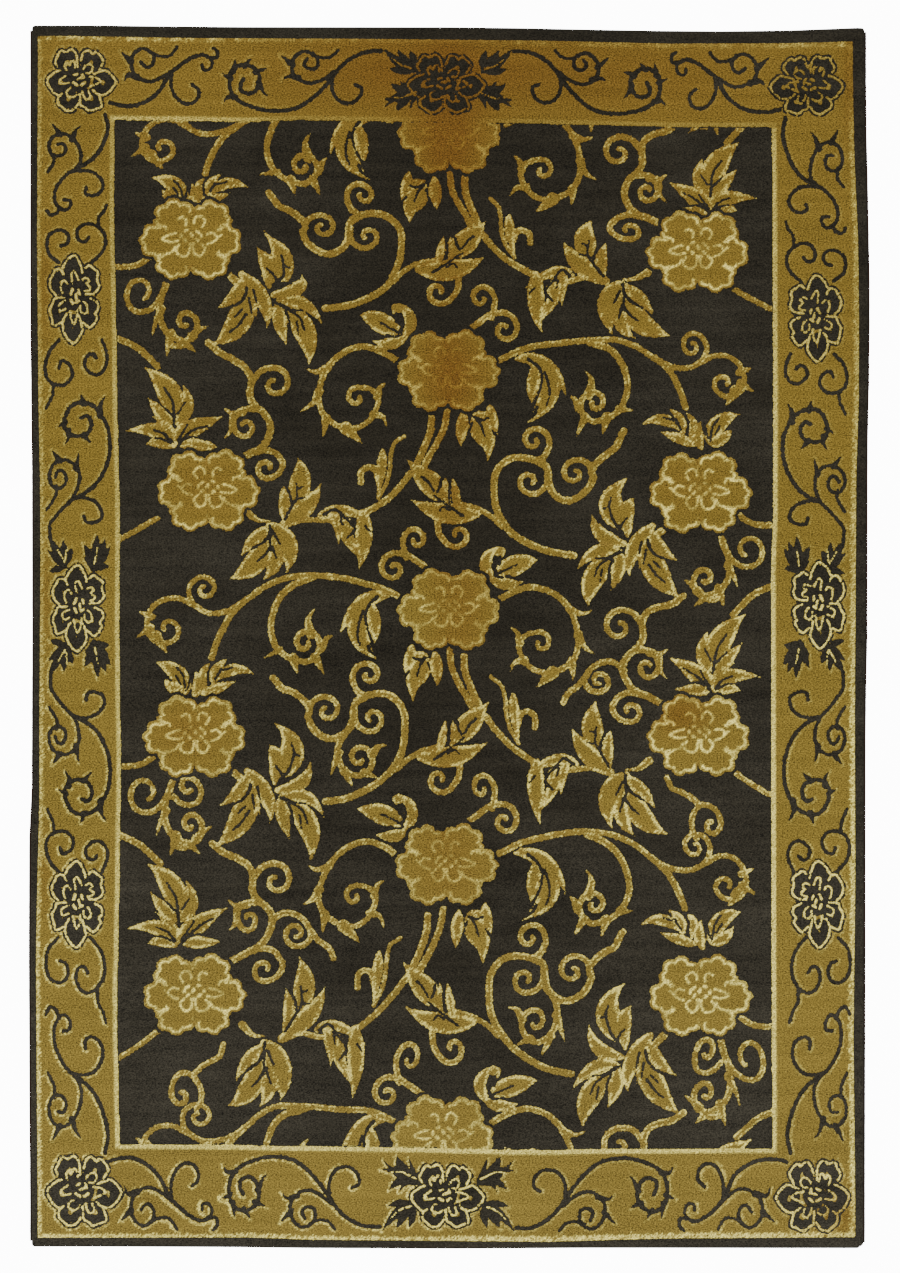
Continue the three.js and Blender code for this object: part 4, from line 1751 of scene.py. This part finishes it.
def lay_two_maps(mesh: bpy.types.Mesh, cell_count: int) -> None:
    """Maps a closed cloth flat: the face that shows fills the map, the back a strip beside it.

    Args:
        mesh: The cloth, whose first faces are its top and whose next ones are its back.
        cell_count: How many faces the top has, and the back as many again.
    """
    place = np.empty(len(mesh.vertices) * 3, np.float32)
    mesh.vertices.foreach_get("co", place)
    place = place.reshape(-1, 3)
    corners = np.empty(len(mesh.loops), np.int32)
    mesh.loops.foreach_get("vertex_index", corners)
    at = place[corners]
    u = 0.5 + at[:, 0] / FACE_MAP_SIDE
    v = 0.5 + at[:, 1] / FACE_MAP_SIDE
    on_back = (np.arange(len(corners)) >= cell_count * 4) & (
        np.arange(len(corners)) < cell_count * 8)
    u = np.where(on_back, BACK_STRIP_AT + at[:, 0] * BACK_STRIP_SCALE, u)
    layer = mesh.uv_layers.new(name="OFBake")
    layer.data.foreach_set("uv", np.column_stack([u, v]).astype(np.float32).ravel())


@dataclass
class OvercastSide:
    """A side cord: yarn wrapped round the rug's edge, turn beside turn.

    Args:
        edge: The rug's edge.
        right: Whether it is the right side's.
    """

    edge: RugEdge
    right: bool
    width: float = 0.0044
    height: float = 0.0062
    wrap: float = 0.0034
    sides: int = 8
    rings_per_wrap: int = 3
    end_gap: float = 0.0006
    sewn_in: float = 0.46
    slack_places: int = 240
    slack: float = 0.00009
    bead: float = 0.14
    lean: float = 0.35

    def build(self) -> bpy.types.Object:
        """Builds the wrapped cord."""
        node = "side_cord_right" if self.right else "side_cord_left"
        low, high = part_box(node)
        count = int((high.y - low.y) / self.wrap) * self.rings_per_wrap
        ys = np.linspace(low.y + self.end_gap, high.y - self.end_gap, count + 1)
        inner = self.edge.side_x(self.edge.right if self.right else self.edge.left, ys)
        reach = self.width * self.sewn_in
        middle = inner + reach if self.right else inner - reach
        chance = np.random.default_rng(5 if self.right else 6)
        slack = np.interp(ys, np.linspace(ys[0], ys[-1], self.slack_places),
                          chance.normal(0.0, self.slack, self.slack_places))
        angle = 2 * np.pi * (np.arange(self.sides) + 0.5) / self.sides
        turn = 2 * np.pi * (ys[:, None] - low.y) / self.wrap + angle[None, :] * self.lean
        bead = (1 - self.bead) + self.bead * np.abs(np.sin(turn / 2))
        across = middle[:, None] + slack[:, None] + np.cos(angle) * bead * self.width / 2
        up = self.height / 2 * (1 + np.sin(angle) * bead)
        along = np.repeat(ys[:, None], self.sides, axis=1)
        place = np.column_stack([across.ravel(), along.ravel(), up.ravel()])
        number = np.arange(len(place)).reshape(len(ys), self.sides)
        beside = np.roll(number, -1, axis=1)
        quads = np.stack([number[:-1], number[1:], beside[1:], beside[:-1]],
                         axis=-1).reshape(-1, 4)
        ends = [number[0][None, :], number[-1][None, ::-1]]
        mesh = mesh_from(self.name(), place, [quads, *ends])
        mesh.polygons.foreach_set("use_smooth", np.ones(len(mesh.polygons), bool))
        return piece_from(mesh)

    def name(self) -> str:
        """Returns the piece's name."""
        return "overcast_right" if self.right else "overcast_left"


class NodeBoard:
    """Adds nodes to one tree and wires them up.

    Args:
        tree: The tree.
    """

    def __init__(self, tree: bpy.types.NodeTree) -> None:
        """Keeps the tree."""
        self.tree = tree

    def add(self, kind: str, takes: Optional[dict[object, object]] = None,
            **settings: object) -> bpy.types.Node:
        """Adds a node.

        Args:
            kind: The node's type.
            takes: What its sockets are fed, by their names or their places in its list.
            settings: Its properties.

        Returns:
            The node.
        """
        node = self.tree.nodes.new(kind)
        for name, value in settings.items():
            setattr(node, name, value)
        self.feed(node, takes or {})
        return node

    def feed(self, node: bpy.types.Node, takes: dict[object, object]) -> None:
        """Feeds a node's sockets, each from another socket or with a value.

        Args:
            node: The node.
            takes: What its sockets are fed, by their names or their places in its list.
        """
        for name, value in takes.items():
            if isinstance(value, bpy.types.NodeSocket):
                self.tree.links.new(value, node.inputs[name])
            else:
                node.inputs[name].default_value = value

    def place(self) -> bpy.types.NodeSocket:
        """Returns the place on the rug, in metres from its middle."""
        return self.add("ShaderNodeTexCoord").outputs["Object"]

    def parts(self, place: object) -> bpy.types.NodeOutputs:
        """Returns a place's X, Y and Z."""
        return self.add("ShaderNodeSeparateXYZ", {0: place}).outputs

    def attribute(self, name: str) -> bpy.types.NodeSocket:
        """Returns what the mesh's points keep under a name."""
        return self.add("ShaderNodeAttribute", attribute_name=name).outputs["Fac"]

    def math(self, operation: str, *values: object) -> bpy.types.NodeSocket:
        """Returns what a Math node works out of some values."""
        takes = dict(enumerate(values))
        return self.add("ShaderNodeMath", takes, operation=operation).outputs[0]

    def spread(self, *takes: object) -> bpy.types.NodeSocket:
        """Returns a value mapped from a low and a high to another low and high, and clamped."""
        return self.add("ShaderNodeMapRange", dict(enumerate(takes))).outputs[0]

    def mix(self, share: object, first: object, second: object,
            blend: str = "MIX") -> bpy.types.NodeSocket:
        """Returns two colours mixed, with a share of the second one."""
        return self.add("ShaderNodeMix", {"Factor": share, "A": first, "B": second},
                        data_type="RGBA", blend_type=blend, clamp_factor=False).outputs["Result"]

    def noise(self, place: object, scale: float, detail: float = 2.0,
              rough: float = 0.5) -> bpy.types.NodeSocket:
        """Returns noise read at a place, with some clumps to a metre and finer layers on them."""
        return self.add("ShaderNodeTexNoise", {"Vector": place, "Scale": scale, "Detail": detail,
                                               "Roughness": rough}).outputs["Fac"]

    def stretched(self, place: object, scale: tuple[float, float, float]) -> bpy.types.NodeSocket:
        """Returns a place scaled on each axis."""
        return self.add("ShaderNodeMapping", {"Vector": place, "Scale": scale}).outputs[0]


def new_group(name: str, takes: dict[str, tuple[str, object]],
              gives: dict[str, str]) -> tuple[bpy.types.NodeTree, NodeBoard,
                                              bpy.types.Node, bpy.types.Node]:
    """Starts a shader node group.

    Args:
        name: The group's name.
        takes: Its inputs, each with its kind of socket and its usual value.
        gives: Its outputs, each with its kind of socket.

    Returns:
        The group, its board, and its input and output nodes.
    """
    group = bpy.data.node_groups.new(name, "ShaderNodeTree")
    for label, (kind, usual) in takes.items():
        socket = group.interface.new_socket(label, in_out="INPUT", socket_type=kind)
        socket.default_value = usual
    for label, kind in gives.items():
        group.interface.new_socket(label, in_out="OUTPUT", socket_type=kind)
    board = NodeBoard(group)
    return group, board, board.add("NodeGroupInput"), board.add("NodeGroupOutput")


def knotted_wool() -> bpy.types.NodeTree:
    """Builds the effect of knotted wool pile: uneven dye, rows of knots and single fibres."""
    value, colour = "NodeSocketFloat", "NodeSocketColor"
    group, board, takes, gives = new_group(
        "knotted_wool",
        {"Colour": (colour, (0.5, 0.5, 0.5, 1)), "Streaks": (value, 0.2),
         "Clouds": (value, 0.15), "Flecks": (value, 0.25), "Knot": (value, 0.0031)},
        {"Colour": colour, "Height": value, "Roughness": value})
    place = board.place()
    streak = board.noise(board.stretched(place, (1.1, 26.0, 1.0)), 2.0, 3.0, 0.62)
    clouds = board.noise(place, 3.2, 3.0, 0.55)
    fleck = board.noise(board.stretched(place, (1.0, 1.5, 1.0)), 300.0, 2.0, 0.8)
    fibre = board.noise(board.stretched(place, (1.0, 0.55, 1.0)), 900.0, 1.0, 0.5)
    parts = board.parts(place)
    wave = board.math("DIVIDE", 6.2832, takes.outputs["Knot"])
    rows = board.math("SINE", board.math("MULTIPLY", parts["Y"], wave))
    columns = board.math("SINE", board.math("MULTIPLY", parts["X"], wave))
    knots = board.math("ADD", board.math("MULTIPLY", rows, 0.6), board.math(
        "MULTIPLY", columns, 0.4))
    level: object = 1.0
    for noise, strength in ((streak, "Streaks"), (clouds, "Clouds"), (fleck, "Flecks")):
        level = board.math("MULTIPLY_ADD", board.math("SUBTRACT", noise, 0.5),
                           takes.outputs[strength], level)
    level = board.math("MULTIPLY_ADD", knots, 0.025, level)
    grey = board.add("ShaderNodeCombineColor", {0: level, 1: level, 2: level})
    tinted = board.mix(1.0, takes.outputs["Colour"], grey.outputs[0], "MULTIPLY")
    height = board.math("MULTIPLY_ADD", fleck, 1.0, board.math("MULTIPLY", knots, 0.25))
    height = board.math("MULTIPLY_ADD", fibre, 0.5, height)
    board.feed(gives, {"Colour": tinted, "Height": height,
                       "Roughness": board.spread(fleck, 0.3, 0.7, 0.84, 0.97)})
    return group


@dataclass(frozen=True)
class Wool:
    """A wool finish.

    Args:
        name: The material's name.
        streaks: How strongly the dye changes from row to row.
        clouds: How strongly it changes in soft clouds.
        flecks: How strongly single knots differ.
        sheen: How much the fibres catch light from the side.
        bump: How deep the knots look, in metres.
    """

    name: str
    streaks: float
    clouds: float
    flecks: float
    sheen: float = 0.03
    bump: float = 0.0007

    def material(self, group: bpy.types.NodeTree,
                 colour: Callable[[NodeBoard], object]) -> bpy.types.Material:
        """Makes the material.

        Args:
            group: The knotted wool effect.
            colour: Makes the colour, or the socket that gives it, on the material's board.

        Returns:
            The material.
        """
        made = bpy.data.materials.new(self.name)
        made.use_nodes = True
        board = NodeBoard(made.node_tree)
        shader = made.node_tree.nodes["Principled BSDF"]
        takes = {"Colour": colour(board), "Streaks": self.streaks, "Clouds": self.clouds,
                 "Flecks": self.flecks}
        wool = board.add("ShaderNodeGroup", takes, node_tree=group)
        bump = board.add("ShaderNodeBump", {"Height": wool.outputs["Height"],
                                            "Distance": self.bump, "Strength": 0.6})
        board.feed(shader, {
            "Base Color": wool.outputs["Colour"], "Roughness": wool.outputs["Roughness"],
            "Normal": bump.outputs["Normal"], "Specular IOR Level": 0.08,
            "Sheen Weight": self.sheen, "Sheen Roughness": 0.5})
        return made


@dataclass(frozen=True)
class RugColours:
    """The wool's dyes, in the renderer's linear colour."""

    charcoal_low: Tone = (0.0345, 0.0306, 0.0214)
    charcoal_high: Tone = (0.0184, 0.0158, 0.0102)
    gold_low: Tone = (0.2150, 0.1530, 0.0305)
    gold_high: Tone = (0.2050, 0.1455, 0.0235)
    rust: Tone = (0.1377, 0.0665, 0.0108)
    pale: Tone = (0.9900, 0.8450, 0.2000)
    warm_pale: Tone = (0.5300, 0.3400, 0.0450)
    overcast: Tone = (0.0404, 0.0221, 0.0165)
    back: Tone = (0.0900, 0.0750, 0.0486)

    @staticmethod
    def paint(tone: Tone) -> tuple[float, float, float, float]:
        """Returns a dye as a colour socket takes it."""
        return (*tone, 1.0)

    def charcoal_dye(self, board: NodeBoard) -> object:
        """Mixes the ground's colour: darker towards the top end and along the middle.

        Args:
            board: The material's board.

        Returns:
            The colour's socket.
        """
        place = board.place()
        parts = board.parts(place)
        upper = board.spread(parts["Y"], 1.2, -0.1, 0.12, 0.36)
        lower = board.spread(parts["Y"], -0.1, -1.2, 0.0, 0.62)
        lightness = board.math("ADD", upper, lower)
        aside = board.spread(board.math("ABSOLUTE", parts["X"]), 0.0, 0.45, -0.3, 0.08)
        worn = board.noise(board.stretched(place, (1.0, 2.2, 1.0)), 5.0, 4.0, 0.62)
        patch = board.spread(worn, 0.3, 0.75, -0.36, 0.52)
        share = board.math("ADD", board.math("ADD", lightness, aside), patch)
        share = board.spread(share, 0.0, 1.3, 0.0, 1.3)
        return board.mix(share, self.paint(self.charcoal_high), self.paint(self.charcoal_low))

    def gold_dye(self, board: NodeBoard) -> object:
        """Mixes the design's colour: gold, rust in places and as painted shade on unlit rims, pale
        along its lines and as painted highlight on lit rims.

        Args:
            board: The material's board.

        Returns:
            The colour's socket.
        """
        # The pale attribute also carries a painted highlight on lit rims, and the rust attribute
        # painted shade on unlit rims.
        pale = board.attribute("pale")
        rust = board.attribute("rust")
        along = board.parts(board.place())["Y"]
        gold = board.mix(board.spread(along, -1.2, 0.3, 0.0, 1.0),
                         self.paint(self.gold_low), self.paint(self.gold_high))
        wool = board.mix(rust, gold, self.paint(self.rust))
        line = board.mix(board.spread(rust, 0.15, 0.9, 0.0, 1.0), self.paint(self.pale),
                         self.paint(self.warm_pale))
        return board.mix(board.math("POWER", pale, 1.15), wool, line)

    def overcast_dye(self, board: NodeBoard) -> object:
        """Returns the overcast yarn's colour."""
        worn = board.noise(board.place(), 16.0, 3.0, 0.6)
        return board.mix(board.spread(worn, 0.4, 0.7, 0.0, 0.6), self.paint(self.overcast),
                         self.paint(self.charcoal_high))

    def back_dye(self, board: NodeBoard) -> object:
        """Returns the woven back's colour, browner where the weft shows."""
        weft = board.noise(board.stretched(board.place(), (1.0, 30.0, 1.0)), 14.0, 3.0, 0.6)
        return board.mix(board.spread(weft, 0.35, 0.65, 0.0, 1.0), self.paint(self.back),
                         self.paint(self.charcoal_low))


@dataclass(frozen=True)
class Studio:
    """The floor, the lights and the camera straight above the rug."""

    seen_height: float = 1273 * SQUARE
    lens: float = 85.0
    sensor: float = 36.0
    middle_x: float = 0.0031
    floor_side: float = 44.0
    floor_tone: Tone = (0.86, 0.86, 0.85)
    floor_glow: float = 12.0
    sky_strength: float = 0.95
    sun_strength: float = 1.7

    def camera(self) -> None:
        """Sets the camera, looking straight down."""
        data = bpy.data.cameras.new("camera")
        data.lens = self.lens
        data.sensor_width = self.sensor
        data.clip_end = 60.0
        camera = bpy.data.objects.new("camera", data)
        camera.location = (self.middle_x, 0.0, 0.0095 + self.seen_height * self.lens / self.sensor)
        bpy.context.scene.collection.objects.link(camera)
        bpy.context.scene.camera = camera

    def floor(self) -> None:
        """Lays a plain pale floor under the rug."""
        bpy.ops.object.select_all(action="DESELECT")
        bpy.ops.mesh.primitive_plane_add(size=self.floor_side, location=(0, 0, -0.0004))
        floor = bpy.context.active_object
        floor.name = "floor"
        made = bpy.data.materials.new("pale_floor")
        made.use_nodes = True
        made.cycles.emission_sampling = "NONE"
        NodeBoard(made.node_tree).feed(made.node_tree.nodes["Principled BSDF"], {
            "Base Color": (*self.floor_tone, 1.0), "Roughness": 0.8,
            "Emission Color": (1.0, 1.0, 1.0, 1.0), "Emission Strength": self.floor_glow})
        floor.data.materials.append(made)
        floor.visible_diffuse = False
        floor.visible_glossy = False

    def lights(self) -> None:
        """Sets an even sky and one soft sun."""
        world = bpy.data.worlds.new("studio_sky")
        world.use_nodes = True
        NodeBoard(world.node_tree).feed(world.node_tree.nodes["Background"], {
            "Color": (1.0, 1.0, 1.0, 1.0), "Strength": self.sky_strength})
        bpy.context.scene.world = world
        sun = bpy.data.lights.new("soft_sun", "SUN")
        sun.energy = self.sun_strength
        sun.angle = math.radians(18)
        lamp = bpy.data.objects.new("soft_sun", sun)
        lamp.rotation_euler = (math.radians(-38), math.radians(-30), 0)
        bpy.context.scene.collection.objects.link(lamp)


def dress(piece: bpy.types.Object, slot: str, *materials: bpy.types.Material) -> None:
    """Gives a piece its materials and its body.

    Args:
        piece: The piece.
        slot: Not used.
        materials: The materials, in the order of the piece's own slots.
    """
    for made in materials:
        piece.data.materials.append(made)
    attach(piece, "root")


def paint_back(cloth: bpy.types.Object, slot: int) -> None:
    """Gives the faces of a cloth that point down the material in another slot."""
    for face in cloth.data.polygons:
        if face.normal.z < -0.5:
            face.material_index = slot


def main() -> None:
    """Builds the rug."""
    logging.basicConfig(level=logging.INFO, format="%(message)s")
    studio = Studio()
    studio.camera()
    studio.floor()
    studio.lights()
    wool = knotted_wool()
    colours = RugColours()
    charcoal = Wool("charcoal_wool", 0.9, 0.5, 4.7).material(wool, colours.charcoal_dye)
    gold = Wool("golden_wool", 0.6, 0.2, 5.0).material(wool, colours.gold_dye)
    yarn = Wool("overcast_yarn", 0.1, 0.2, 1.0).material(wool, colours.overcast_dye)
    back = Wool("woven_back", 0.2, 0.1, 1.0).material(wool, colours.back_dye)

    edge = RugEdge(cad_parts["rug_body"])
    ground = GroundCloth(edge).build()
    dress(ground, "charcoal_pile", charcoal, back)
    paint_back(ground, 1)
    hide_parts("rug_body")
    logging.info("ground cloth: %d faces", len(ground.data.polygons))

    design = GoldenPile().build()
    for piece in design:
        dress(piece, "gold_pile", gold)
        logging.info("%s: %d faces", piece.name, len(piece.data.polygons))

    for right in (False, True):
        cord = OvercastSide(edge, right).build()
        dress(cord, "overcast_wool", yarn)
        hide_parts("side_cord_right" if right else "side_cord_left")
        logging.info("%s: %d faces", cord.name, len(cord.data.polygons))


if __name__ == "__main__":
    main()
